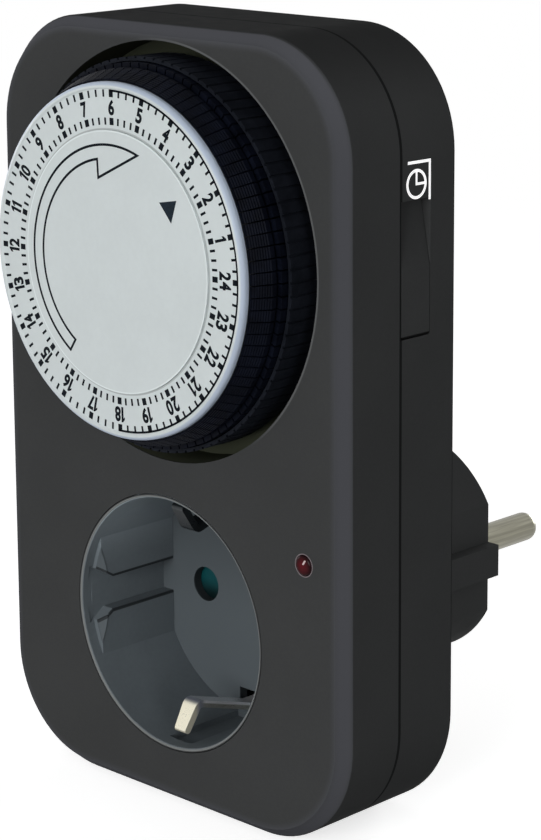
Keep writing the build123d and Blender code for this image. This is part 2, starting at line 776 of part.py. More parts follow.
with BuildPart() as live_bar_out:
    lane = bar_lane_drop
    riser_x = (base_x[1] - bar_width, base_x[1])
    slab(across_bar(contact_x), (sleeve_back_y, sleeve_back_y + bar_thickness),
         (-lane, socket_z + bar_width / 2))
    slab(across_bar(contact_x), (bar_front_y, sleeve_back_y + bar_thickness), (-lane, bar_thickness - lane))
    slab((contact_x - bar_width / 2, riser_x[1]), (bar_front_y, bar_back_y), (-lane, bar_width - lane))
    slab(riser_x, (bar_front_y, bar_back_y), (-lane, base_z[0]))
    slab(riser_x, (blade_front_y - bar_thickness, bar_back_y), (base_z[0] - bar_thickness, base_z[0]))
    slab((lever_x - blade_width / 2, riser_x[1]), (blade_back_y - bar_thickness, blade_back_y),
         (base_z[0] - bar_thickness, base_z[1] - face_gap))
finish(live_bar_out, "live_bar_out")

# ---------------------------------------------------------------- switch and its sensing lever
with BuildPart() as switch_base:
    slab(base_x, (blade_back_y, inner_rear_y), base_z)
    # channel behind the base for the live bar
    with Locations((base_x[0] + bar_width / 2, inner_rear_y, (base_z[0] + base_z[1]) / 2)):
        Box(bar_width + 2 * part_gap, 2 * (inner_rear_y - bar_front_y + part_gap), 2 * switch_base_height,
            mode=Mode.SUBTRACT)
finish(switch_base, "switch_base")

with BuildPart() as fixed_contact:
    blade_x = (lever_x - blade_width / 2, lever_x + blade_width / 2)
    slab(blade_x, (fixed_front_y, fixed_front_y + bar_thickness), (base_top_z, rivet_z + rivet_radius))
    slab((base_x[0], blade_x[1]), (fixed_front_y, bar_front_y), (base_top_z, base_top_z + bar_thickness))
    with BuildSketch(across(fixed_front_y)):
        with Locations((lever_x, rivet_z)):
            Circle(rivet_radius)
    extrude(amount=rivet_height)
finish(fixed_contact, "fixed_contact")

with BuildPart() as moving_blade:
    slab(blade_x, (blade_front_y, blade_back_y), (base_top_z + part_gap, base_top_z + blade_length))
    with BuildSketch(across(blade_back_y + rivet_height)):
        with Locations((lever_x, rivet_z)):
            Circle(rivet_radius)
    extrude(amount=rivet_height)
finish(moving_blade, "moving_blade")

lever_end_z = lever_pivot_z - lever_length
with BuildPart() as sensing_lever:
    lever_span_x = (lever_x - lever_width / 2, lever_x + lever_width / 2)
    lever_front_y = lever_pivot_y - lever_thickness / 2
    lever_back_y = lever_pivot_y + lever_thickness / 2
    slab(lever_span_x, (lever_front_y, lever_back_y), (lever_end_z, lever_pivot_z + lever_thickness))
    slab(lever_span_x, (lever_back_y, lever_back_y + lever_nub), (lever_end_z, lever_end_z + lever_thickness))
    nose_tip_y = drum_rider_tail_y + rider_travel + shell_gap
    slab((lever_x - nose_width / 2, lever_x + nose_width / 2), (nose_tip_y, lever_front_y),
         (nose_z - nose_length_z / 2, nose_z + nose_length_z / 2))
    with BuildSketch(lengthwise(lever_x)):
        with Locations((lever_pivot_y, lever_pivot_z)):
            Circle(lever_pin_radius)
    extrude(amount=ear_offset + ear_thickness / 2, both=True)
    # one pin is longer and carries the spring
    spring_start_x = lever_x + ear_offset + ear_thickness / 2
    spring_pitch = lever_spring_wire + face_gap
    spring_room = (lever_spring_turns + 1) * spring_pitch
    with BuildSketch(lengthwise(spring_start_x)):
        with Locations((lever_pivot_y, lever_pivot_z)):
            Circle(lever_pin_radius)
    extrude(amount=spring_room)
finish(sensing_lever, "sensing_lever")

with BuildPart() as lever_spring:
    with BuildLine() as coil:
        turns = Helix(
            pitch=spring_pitch,
            height=lever_spring_turns * spring_pitch,
            radius=lever_pin_radius + shell_gap + lever_spring_wire / 2,
            center=(spring_start_x + lever_spring_wire, lever_pivot_y, lever_pivot_z),
            direction=(1, 0, 0),
        )
        leg_end = turns @ 0 - (turns % 0) * lever_spring_leg
        Line(leg_end, turns @ 0)
    with BuildSketch(Plane(origin=leg_end, z_dir=turns % 0)):
        Circle(lever_spring_wire / 2)
    sweep(path=coil.wire())
finish(lever_spring, "lever_spring")

# ---------------------------------------------------------------- rocker on the side
with BuildPart() as rocker:
    with BuildSketch(across(rocker_back_y)):
        with Locations((rocker_x, rocker_z)):
            Circle(rocker_radius)
            tilt = rocker_radius * tan(radians(rocker_angle))
            Polygon(
                (-rocker_back, -rocker_radius),
                (rocker_pivot_depth, -rocker_radius),
                (rocker_pivot_depth, 0),
                (rocker_pivot_depth - tilt, rocker_radius),
                (-rocker_back, rocker_radius),
                align=None,
                mode=Mode.INTERSECT,
            )
    extrude(amount=rocker_width)
    with BuildSketch(across(rocker_back_y + trunnion_length)):
        with Locations((rocker_x, rocker_z)):
            Circle(trunnion_radius)
    extrude(amount=rocker_width + 2 * trunnion_length)
finish(rocker, "rocker")

# ---------------------------------------------------------------- indicator
with BuildPart() as indicator_lens:
    with BuildSketch(across(inner_front_y)):
        with Locations((lens_x, lens_z)):
            Circle(lens_radius)
    extrude(amount=wall + lens_proud)
    fillet(indicator_lens.edges().group_by(Axis.Y)[0], lens_round)
    with BuildSketch(across(inner_front_y + lens_flange_thickness)):
        with Locations((lens_x, lens_z)):
            Circle(lens_flange_radius)
    extrude(amount=lens_flange_thickness)
finish(indicator_lens, "indicator_lens")

with BuildPart() as neon_lamp:
    lamp_front_y = inner_front_y + lens_flange_thickness + face_gap
    with BuildSketch(section(lens_x, lens_z)):
        with BuildLine():
            Polyline(
                (0, lamp_front_y),
                (0, lamp_front_y + lamp_length),
                (lamp_radius, lamp_front_y + lamp_length),
                (lamp_radius, lamp_front_y + lamp_radius / 2),
                (lamp_radius / 2, lamp_front_y),
                close=True,
            )
        make_face()
    revolve(axis=turning(lens_x, lens_z))
    with BuildSketch(across(lamp_front_y + lamp_length + lamp_lead)):
        with Locations((lens_x - lamp_radius / 2, lens_z), (lens_x + lamp_radius / 2, lens_z)):
            Circle(spring_wire / 2)
    extrude(amount=lamp_lead)
finish(neon_lamp, "neon_lamp")

# ---------------------------------------------------------------- motor and gear train
motor_front_y = boss_top_y
motor_back_y = motor_front_y + motor_depth
with BuildPart() as motor_can:
    with BuildSketch(across(motor_back_y)):
        with Locations((0, motor_z)):
            Circle(motor_radius)
    extrude(amount=motor_depth)
    with BuildSketch(across(motor_front_y + motor_ear_thickness)):
        with Locations((0, motor_z)):
            SlotCenterToCenter(2 * motor_ear_reach, 2 * motor_ear_radius)
        with Locations((-motor_ear_reach, motor_z), (motor_ear_reach, motor_z)):
            Circle(small_screw_radius + part_gap, mode=Mode.SUBTRACT)
    extrude(amount=motor_ear_thickness)
    with BuildSketch(across(motor_back_y - motor_skin)):
        with Locations((0, motor_z)):
            Circle(motor_radius - motor_skin)
            Circle(2 * rotor_axle_radius, mode=Mode.SUBTRACT)
    extrude(amount=motor_depth - motor_skin - motor_ear_thickness, mode=Mode.SUBTRACT)
    with BuildSketch(across(motor_back_y - motor_skin - bearing_length)):
        with Locations((0, motor_z)):
            Circle(2 * rotor_axle_radius)
    extrude(amount=motor_depth - motor_skin - motor_ear_thickness - 2 * bearing_length, mode=Mode.SUBTRACT)
    with BuildSketch(across(motor_back_y - motor_skin)):
        with Locations((0, motor_z)):
            Circle(rotor_axle_radius + running_gap)
    extrude(amount=motor_depth - motor_skin - motor_ear_thickness / 2, mode=Mode.SUBTRACT)
    with BuildSketch(across(motor_front_y + motor_ear_thickness)):
        with Locations((0, output_z)):
            Circle(motor_shaft_radius + running_gap)
    extrude(amount=motor_ear_thickness, mode=Mode.SUBTRACT)
finish(motor_can, "motor_can")

motor_inside = (motor_front_y + motor_ear_thickness, motor_back_y - motor_skin)
with BuildPart() as motor_coil:
    with BuildSketch(across(motor_inside[1] - shell_gap)):
        with Locations((0, motor_z)):
            Circle(coil_outer_radius)
            Circle(coil_inner_radius, mode=Mode.SUBTRACT)
    extrude(amount=motor_inside[1] - motor_inside[0] - shell_gap - coil_front_room)
finish(motor_coil, "motor_coil")

with BuildPart() as motor_rotor:
    with BuildSketch(across(motor_inside[1] - bearing_length - face_gap)):
        with Locations((0, motor_z)):
            Circle(rotor_radius)
    extrude(amount=motor_inside[1] - motor_inside[0] - 2 * (bearing_length + face_gap))
    with BuildSketch(across(motor_inside[1] - face_gap)):
        with Locations((0, motor_z)):
            Circle(rotor_axle_radius)
    extrude(amount=motor_inside[1] - motor_inside[0] - 2 * face_gap)
finish(motor_rotor, "motor_rotor")


def gear(count, inwards=False):
    """Adds a gear's teeth to the sketch that is being made, the first one on its first axis."""
    pitch = module * count / 2
    sign = -1 if inwards else 1
    tip = pitch + sign * module * tooth_addendum
    root = pitch - sign * module * tooth_dedendum
    seat = root - sign * face_gap
    slope = tan(radians(pressure_angle))
    half_width = pi * module * tooth_share / 2
    half_tip = half_width - abs(tip - pitch) * slope
    half_seat = half_width + abs(seat - pitch) * slope
    if not inwards:
        Circle(root)
    with PolarLocations(0, count):
        Polygon((seat, -half_seat), (tip, -half_tip), (tip, half_tip), (seat, half_seat), align=None)


def gear_plane(y, z, turn):
    """Plane across the depth at y for a gear centred at height z, its first tooth turned to turn."""
    return across(y) * Location((0, z, 0)) * Location((0, 0, 0), (0, 0, turn))


# Turns that set a gear's first tooth straight up and straight down
upwards, downwards = 90, -90

with BuildPart() as motor_pinion:
    half_tooth = 180 / pinion_teeth
    with BuildSketch(gear_plane(wheel_back_y, output_z, downwards + half_tooth)):
        gear(pinion_teeth)
    extrude(amount=wheel_thickness)
    with BuildSketch(across(motor_front_y + motor_ear_thickness)):
        with Locations((0, output_z)):
            Circle(motor_shaft_radius)
    extrude(amount=motor_front_y + motor_ear_thickness - wheel_back_y)
finish(motor_pinion, "motor_pinion")

ring_front_y = drum_back_y - ring_gear_width
with BuildPart() as idler_gear:
    with BuildSketch(gear_plane(wheel_back_y, idler_z, upwards)):
        gear(wheel_teeth)
    extrude(amount=wheel_thickness)
    with BuildSketch(gear_plane(wheel_front_y, idler_z, downwards)):
        gear(pinion_teeth)
    extrude(amount=wheel_front_y - ring_front_y)
    with BuildSketch(across(boss_top_y - face_gap)):
        with Locations((0, idler_z)):
            Circle(pinion_pitch_radius - module * tooth_dedendum)
    extrude(amount=boss_top_y - face_gap - wheel_back_y)
    with BuildSketch(across(boss_top_y)):
        with Locations((0, idler_z)):
            Circle(idler_axle_radius + running_gap)
    extrude(amount=boss_top_y - ring_front_y, mode=Mode.SUBTRACT)
finish(idler_gear, "idler_gear")

with BuildPart() as idler_axle:
    with BuildSketch(across(boss_top_y + bridge_thickness)):
        with Locations((0, idler_z)):
            Circle(idler_axle_radius)
    extrude(amount=boss_top_y + bridge_thickness - ring_front_y + face_gap)
    with BuildSketch(across(ring_front_y - face_gap)):
        with Locations((0, idler_z)):
            Circle(2 * idler_axle_radius)
    extrude(amount=bar_thickness)
finish(idler_axle, "idler_axle")

with BuildPart() as gear_bridge:
    with BuildSketch(across(boss_top_y + bridge_thickness)):
        with Locations((0, idler_z)):
            RectangleRounded(2 * bridge_half_length, bridge_width, inner_boss_radius)
            Circle(idler_axle_radius, mode=Mode.SUBTRACT)
        with Locations((-bridge_boss_reach, idler_z), (bridge_boss_reach, idler_z)):
            Circle(small_screw_radius + part_gap, mode=Mode.SUBTRACT)
    extrude(amount=bridge_thickness)
finish(gear_bridge, "gear_bridge")


def screws(head_radius, head_height, shank_radius, length, seat_y, places):
    """Makes a screw at each place, its head behind seat_y and its shank in front of it."""
    with BuildPart() as group:
        with BuildSketch(across(seat_y + head_height)):
            with Locations(*places):
                Circle(head_radius)
        extrude(amount=head_height)
        with BuildSketch(across(seat_y)):
            with Locations(*places):
                Circle(shank_radius)
        extrude(amount=length)
        with BuildSketch(across(seat_y + head_height)):
            with Locations(*places):
                Rectangle(recess_reach * head_radius, recess_cross)
                Rectangle(recess_cross, recess_reach * head_radius)
        extrude(amount=head_height / 2, mode=Mode.SUBTRACT)
    return group


inner_seats = [(-motor_ear_reach, motor_z), (motor_ear_reach, motor_z),
               (-bridge_boss_reach, idler_z), (bridge_boss_reach, idler_z)]
inner_screws = screws(small_screw_head, small_screw_head_height, small_screw_radius,
                      small_screw_length, boss_top_y + bridge_thickness, inner_seats)
finish(inner_screws, "inner_screws")

housing_screws = screws(housing_screw_head, housing_screw_head_height, screw_radius,
                        housing_screw_length, rear_y - housing_screw_sink, four_bosses())
finish(housing_screws, "housing_screws")

# ---------------------------------------------------------------- dial
axle_front_y = disc_back_y - face_gap
with BuildPart() as dial_axle:
    with BuildSketch(across(well_back_y)):
        with Locations((0, dial_z)):
            Circle(dial_axle_radius)
    extrude(amount=well_back_y - axle_front_y)
    with BuildSketch(across(axle_front_y + dial_screw_length)):
        with Locations((0, dial_z)):
            Circle(screw_radius + running_gap)
    extrude(amount=dial_screw_length, mode=Mode.SUBTRACT)
finish(dial_axle, "dial_axle")

with BuildPart() as dial_screw:
    with BuildSketch(across(axle_front_y + dial_screw_length - shell_gap)):
        with Locations((0, dial_z)):
            Circle(screw_radius)
    extrude(amount=dial_screw_length - shell_gap)
    with BuildSketch(across(axle_front_y)):
        with Locations((0, dial_z)):
            Circle(screw_head_radius)
    extrude(amount=screw_head_height)
    with BuildSketch(across(axle_front_y - screw_head_height / 2)):
        with Locations((0, dial_z)):
            Rectangle(recess_reach * screw_head_radius, recess_cross)
            Rectangle(recess_cross, recess_reach * screw_head_radius)
    extrude(amount=screw_head_height / 2, mode=Mode.SUBTRACT)
finish(dial_screw, "dial_screw")

rider_count = hours * riders_per_hour
rider_pitch = 360 / rider_count
hub_front_gap = dial_axle_radius + running_gap
hub_back_y = well_floor_y - axle_boss_height - hub_end_gap
with BuildPart() as dial_drum:
    with BuildSketch(section(0, dial_z)):
        with BuildLine():
            Polyline(
                (hub_front_gap, disc_back_y),
                (drum_outer_radius, disc_back_y),
                (drum_outer_radius, guide_top_y),
                (skirt_inner_radius, guide_top_y),
                (skirt_inner_radius, skirt_top_y),
                (skirt_outer_radius, skirt_top_y),
                (skirt_outer_radius, drum_back_y),
                (ring_root_radius, drum_back_y),
                (ring_root_radius, ring_front_y),
                (drum_inner_radius, ring_front_y),
                (drum_inner_radius, disc_back_y + drum_plate),
                (hub_radius, disc_back_y + drum_plate),
                (hub_radius, hub_back_y),
                (hub_front_gap, hub_back_y),
                close=True,
            )
        make_face()
    revolve(axis=turning(0, dial_z))
    # one slot for each rider's stem
    with BuildSketch(across(drum_back_y)):
        with Locations((0, dial_z)):
            slot_inner = drum_outer_radius - part_gap
            slot_outer = skirt_inner_radius - part_gap
            with PolarLocations((slot_inner + slot_outer) / 2, rider_count, start_angle=rider_pitch / 2):
                Rectangle(slot_outer - slot_inner, stem_width + 2 * face_gap)
    extrude(amount=drum_back_y - guide_top_y, mode=Mode.SUBTRACT)
    # notches that part the skirt into blocks
    with BuildSketch(across(drum_back_y)):
        with Locations((0, dial_z)):
            with PolarLocations(skirt_outer_radius, rider_count):
                Rectangle(2 * skirt_notch_depth, skirt_notch_width)
    extrude(amount=drum_back_y - skirt_top_y, mode=Mode.SUBTRACT)
    with BuildSketch(gear_plane(drum_back_y, dial_z, downwards + 180 / ring_teeth)):
        gear(ring_teeth, inwards=True)
    extrude(amount=ring_gear_width)
finish(dial_drum, "dial_drum")

print_y = disc_front_y + bezel_height
cap_front_y = print_y - centre_height
cap_back_y = cap_front_y + cap_thickness
with BuildPart() as dial_face:
    with BuildSketch(section(0, dial_z)):
        with BuildLine():
            Polyline(
                (disc_radius, disc_front_y),
                (disc_radius, disc_back_y),
                (hub_radius, disc_back_y),
                (hub_radius, cap_back_y),
                (centre_radius, cap_back_y),
                (centre_radius, print_y),
                (disc_radius - bezel_width, print_y),
                (disc_radius - bezel_width + bezel_height, disc_front_y),
                close=True,
            )
        make_face()
    revolve(axis=turning(0, dial_z))
    front_rings = dial_face.edges().filter_by(GeomType.CIRCLE).group_by(Axis.Y)[0]
    fillet(front_rings.sort_by(SortBy.RADIUS)[-1], bezel_round)
finish(dial_face, "dial_face")

with BuildPart() as dial_cap:
    with BuildSketch(across(cap_back_y)):
        with Locations((0, dial_z)):
            Circle(centre_radius - running_gap)
    extrude(amount=cap_thickness)
finish(dial_cap, "dial_cap")


# ---------------------------------------------------------------- riders
# Half a section through a rider: a ribbed head, a neck and a shoulder, as radius and depth
head_y = disc_front_y + head_drop
band_y = head_y + head_cone_depth
neck_y = band_y + head_band_depth
shoulder_y = neck_y + neck_depth
stem_y = shoulder_y + shoulder_depth
rib_depth = head_cone_depth / head_ribs
rib_step = (head_radius - head_tip_radius) / head_ribs
cone = []
for rib in range(head_ribs):
    cone.append((head_tip_radius + rib * rib_step, head_y + rib * rib_depth))
    cone.append((head_tip_radius + rib * rib_step, head_y + (rib + 1) * rib_depth - head_rib_depth))

for hour in range(hours):
    with BuildPart() as riders:
        for quarter in range(riders_per_hour):
            turn = (hour * riders_per_hour + quarter + 0.5) * rider_pitch
            with BuildSketch(section(0, dial_z, turn)):
                with BuildLine():
                    Polyline(
                        (rider_inner_radius, stem_y),
                        (rider_inner_radius, head_y),
                        *cone,
                        (head_radius, band_y),
                        (head_radius, neck_y),
                        (neck_radius, neck_y),
                        (neck_radius, shoulder_y),
                        (shoulder_radius, shoulder_y),
                        (shoulder_radius, stem_y),
                        close=True,
                    )
                make_face()
            extrude(amount=rider_width / 2, both=True)
            with BuildSketch(section(0, dial_z, turn)):
                with Locations(((rider_inner_radius + shoulder_radius) / 2, stem_y + stem_depth / 2)):
                    Rectangle(shoulder_radius - rider_inner_radius - 2 * face_gap, stem_depth)
            extrude(amount=stem_width / 2, both=True)
    finish(riders, f"riders_{hour + 1:02d}")
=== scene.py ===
"""Dresses a plug-in timer switch: a finish for every moulded and metal piece, the dial's print,
the mark above the side rocker, the indicator's ring, a pale studio and the camera."""

import logging
import math
from dataclasses import dataclass, field
from enum import Enum

import bmesh
import bpy
import numpy as np
from mathutils import Matrix, Vector


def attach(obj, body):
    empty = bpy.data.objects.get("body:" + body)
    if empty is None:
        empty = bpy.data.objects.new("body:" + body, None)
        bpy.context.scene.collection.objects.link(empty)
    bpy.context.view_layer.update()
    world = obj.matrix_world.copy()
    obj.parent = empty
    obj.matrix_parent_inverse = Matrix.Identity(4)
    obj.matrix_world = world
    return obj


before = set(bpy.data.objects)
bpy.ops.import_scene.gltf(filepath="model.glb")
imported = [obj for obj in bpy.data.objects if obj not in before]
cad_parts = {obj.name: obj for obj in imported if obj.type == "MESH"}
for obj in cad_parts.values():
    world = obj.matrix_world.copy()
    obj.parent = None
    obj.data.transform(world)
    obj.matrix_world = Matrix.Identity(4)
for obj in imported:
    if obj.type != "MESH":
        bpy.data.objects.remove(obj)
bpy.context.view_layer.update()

MM = 0.001
WELD = 1e-8  # points closer than this, in metres, become one
NOISE_CORE = (0.3, 0.7)  # most of a noise's values lie between these
NOISE_WIDE = (0.25, 0.75)  # nearly all of them lie between these
Pair = tuple[float, float]
Triple = tuple[float, float, float]
RGB = Triple
Socket = bpy.types.NodeSocket
log = logging.getLogger("timer")


class Carrier(Enum):
    """The bodies that new pieces ride on."""

    HOUSING = "housing"
    DIAL = "dial"


# ------------------------------------------------------------------ shader graphs


@dataclass(frozen=True)
class Signal:
    """One number that varies over a surface, with arithmetic that adds Math nodes."""

    graph: "Graph"
    socket: Socket

    def _math(self, operation: str, first: "Signal | float", second: "Signal | float") -> "Signal":
        """Adds one Math node.

        Args:
            operation: the node's operation.
            first: its first input.
            second: its second input.

        Returns:
            The node's result.
        """
        node = self.graph.node("ShaderNodeMath", {"operation": operation}, {0: first, 1: second})
        return Signal(self.graph, node.outputs[0])

    def __add__(self, other: "Signal | float") -> "Signal":
        """Sum."""
        return self._math("ADD", self, other)

    __radd__ = __add__

    def __sub__(self, other: "Signal | float") -> "Signal":
        """Difference."""
        return self._math("SUBTRACT", self, other)

    def __rsub__(self, other: "Signal | float") -> "Signal":
        """Reflected difference."""
        return self._math("SUBTRACT", other, self)

    def __mul__(self, other: "Signal | float") -> "Signal":
        """Product."""
        return self._math("MULTIPLY", self, other)

    __rmul__ = __mul__

    def size(self) -> "Signal":
        """Absolute value."""
        return self._math("ABSOLUTE", self, 0.0)

    def at_least(self, other: "Signal | float") -> "Signal":
        """The larger of the two."""
        return self._math("MAXIMUM", self, other)

    def at_most(self, other: "Signal | float") -> "Signal":
        """The smaller of the two."""
        return self._math("MINIMUM", self, other)

    def across(self, other: "Signal") -> "Signal":
        """The distance made by two offsets at right angles: the root of the sum of their squares."""
        return self._math("POWER", self * self + other * other, 0.5)


class Graph:
    """A material's or the world's node tree."""

    def __init__(self, owner: bpy.types.Material | bpy.types.World) -> None:
        """Empties the owner's tree.

        Args:
            owner: the material or world that the tree belongs to.
        """
        owner.use_nodes = True
        self.tree = owner.node_tree
        self.tree.nodes.clear()

    def node(self, kind: str, settings: dict[str, object] | None = None,
             inputs: dict[int | str, object] | None = None) -> bpy.types.Node:
        """Adds a node, sets it up, then fills its sockets.

        Args:
            kind: the node's type name.
            settings: attributes set before the sockets are filled.
            inputs: values, sockets or signals by socket name or number.

        Returns:
            The new node.
        """
        made = self.tree.nodes.new(kind)
        for name, value in (settings or {}).items():
            setattr(made, name, value)
        for key, value in (inputs or {}).items():
            source = value.socket if isinstance(value, Signal) else value
            if isinstance(source, Socket):
                self.tree.links.new(source, made.inputs[key])
            else:
                made.inputs[key].default_value = source
        return made

    def signal(self, node: bpy.types.Node, output: int | str = 0) -> Signal:
        """Takes a node's output as a number."""
        return Signal(self, node.outputs[output])

    def place(self, scale: Triple = (1, 1, 1)) -> Socket:
        """Object coordinates in metres, stretched by scale."""
        source = self.node("ShaderNodeTexCoord").outputs["Object"]
        return self.node("ShaderNodeMapping", {}, {"Vector": source, "Scale": scale}).outputs[0]

    def millimetres(self) -> tuple[Signal, Signal, Signal]:
        """Object coordinates in millimetres, one signal for each axis."""
        parts = self.node("ShaderNodeSeparateXYZ", {}, {0: self.place((1 / MM, 1 / MM, 1 / MM))})
        return tuple(self.signal(parts, axis) for axis in "XYZ")

    def away(self, middle: Triple = (0.0, 0.0, 0.0)) -> Signal:
        """The distance from a point, both in metres.

        Args:
            middle: the point.

        Returns:
            The distance.
        """
        offset = self.node("ShaderNodeVectorMath", {"operation": "SUBTRACT"}, {0: self.place(), 1: middle})
        length = self.node("ShaderNodeVectorMath", {"operation": "LENGTH"}, {0: offset.outputs[0]})
        return self.signal(length, "Value")

    def noise(self, grain_mm: float, detail: float = 2.0, stretch: Triple = (1, 1, 1)) -> Signal:
        """Smooth noise between 0 and 1.

        Args:
            grain_mm: the size of its spots.
            detail: octaves of finer noise.
            stretch: spots become narrower along an axis with a larger number.

        Returns:
            The noise's value.
        """
        made = self.node("ShaderNodeTexNoise", {"noise_dimensions": "3D"},
                         {"Vector": self.place(stretch), "Scale": 1 / (grain_mm * MM), "Detail": detail,
                          "Roughness": 0.55})
        return self.signal(made, "Fac")

    def span(self, value: Signal, low: float, high: float, start: float = 0.0, end: float = 1.0) -> Signal:
        """Maps a value smoothly from [low, high] to [start, end].

        Args:
            value: the value to map.
            low: where the ramp begins.
            high: where the ramp ends.
            start: the result at low.
            end: the result at high.

        Returns:
            The mapped value.
        """
        made = self.node("ShaderNodeMapRange", {"interpolation_type": "SMOOTHSTEP"},
                         {"Value": value, "From Min": low, "From Max": high, "To Min": start, "To Max": end})
        return self.signal(made)

    def falls(self, value: Signal, low: float, high: float) -> Signal:
        """1 up to low, falling smoothly to 0 at high."""
        return self.span(value, low, high, 1.0, 0.0)

    def past(self, value: Signal, start: float, fade: Pair) -> Signal:
        """Rises smoothly from 0 to 1 between two offsets from a start."""
        return self.span(value, start + fade[0], start + fade[1])

    def near(self, value: Signal, middle: float, half: float, soft: float) -> Signal:
        """1 where a value is within half of the middle, fading to 0 over soft."""
        return self.falls((value - middle).size(), half, half + soft)

    def blend(self, factor: Signal, first: RGB | Socket, second: RGB | Socket) -> Socket:
        """Mixes two colours.

        Args:
            factor: 0 gives the first colour and 1 the second.
            first: a colour or a colour socket.
            second: a colour or a colour socket.

        Returns:
            The mixed colour's socket.
        """
        opaque = [c if isinstance(c, Socket) else (*c, 1.0) for c in (first, second)]
        made = self.node("ShaderNodeMix", {"data_type": "RGBA"}, {0: factor, 6: opaque[0], 7: opaque[1]})
        return made.outputs[2]

    def layers(self, base: RGB | Socket, *over: tuple[Signal, RGB | Socket]) -> Socket:
        """Lays colours over a base in turn, each where its own mask is 1.

        Args:
            base: the lowest colour.
            over: pairs of a mask and the colour it lays.

        Returns:
            The finished colour's socket.
        """
        for mask, colour in over:
            base = self.blend(mask, base, colour)
        return base

    def relief(self, height: Signal, depth_mm: float) -> Socket:
        """Turns a height between 0 and 1 into a bumped normal.

        Args:
            height: the height over the surface.
            depth_mm: how far apart its lowest and highest points are.

        Returns:
            The normal's socket.
        """
        made = self.node("ShaderNodeBump", {},
                         {"Height": height, "Distance": depth_mm * MM, "Strength": 1.0})
        return made.outputs[0]

    def choose(self, factor: Signal, first: bpy.types.Node, second: bpy.types.Node) -> bpy.types.Node:
        """Mixes two shaders: a factor of 0 gives the first and 1 the second."""
        return self.node("ShaderNodeMixShader", {}, {0: factor, 1: first.outputs[0], 2: second.outputs[0]})

    def surface(self, shader: bpy.types.Node, kind: str = "ShaderNodeOutputMaterial") -> None:
        """Ends the tree with its output."""
        self.node(kind, {}, {"Surface": shader.outputs[0]})


def scaled(colour: RGB, factor: float) -> RGB:
    """Multiplies a colour, kept at or below white."""
    return tuple(min(channel * factor, 1.0) for channel in colour)


# ------------------------------------------------------------------ finishes


@dataclass(frozen=True)
class Finish:
    """A look that can be made into a material."""

    colour: RGB

    def shade(self, gain: float) -> RGB:
        """The plain colour made lighter or darker."""
        return scaled(self.colour, gain)

    def sockets(self, graph: Graph) -> dict[str, object]:
        """The shader's inputs by name, which each kind of finish gives."""
        raise NotImplementedError

    def make(self, name: str) -> bpy.types.Material:
        """Makes the material.

        Args:
            name: its name.

        Returns:
            The material.
        """
        material = bpy.data.materials.new(name)
        graph = Graph(material)
        graph.surface(graph.node("ShaderNodeBsdfPrincipled", {}, self.sockets(graph)))
        return material


@dataclass(frozen=True)
class MouldedPlastic(Finish):
    """Injection-moulded plastic: a fine spark-eroded grain, faint flow clouds and a satin gloss."""

    roughness: float = 0.5
    specular: float = 0.5
    grain_mm: float = 0.3
    grain_depth_mm: float = 0.012
    clouds: float = 0.08
    cloud_mm: float = 14.0
    cloud_share: float = 0.7
    speck_ratio: float = 1.7
    gloss_ratio: float = 9.0
    gloss_spread: float = 0.06

    def tint(self, graph: Graph) -> Socket:
        """The colour over the surface: flow clouds and fine specks.

        Args:
            graph: the tree to add to.

        Returns:
            The colour's socket.
        """
        specks = graph.noise(self.grain_mm * self.speck_ratio, detail=1.0)
        drift = graph.noise(self.cloud_mm, detail=3.0) * self.cloud_share + specks * (1 - self.cloud_share)
        return graph.blend(graph.span(drift, *NOISE_CORE), self.shade(1 - self.clouds),
                           self.shade(1 + self.clouds))

    def sockets(self, graph: Graph) -> dict[str, object]:
        """The tint, a gloss that drifts a little, and the grain.

        Args:
            graph: the tree to add to.

        Returns:
            The shader's inputs by name.
        """
        gloss = graph.span(graph.noise(self.grain_mm * self.gloss_ratio), *NOISE_WIDE,
                           self.roughness - self.gloss_spread, self.roughness + self.gloss_spread)
        grain = graph.relief(graph.noise(self.grain_mm, detail=2.5), self.grain_depth_mm)
        return {"Base Color": self.tint(graph), "Roughness": gloss, "Specular IOR Level": self.specular,
                "Normal": grain}


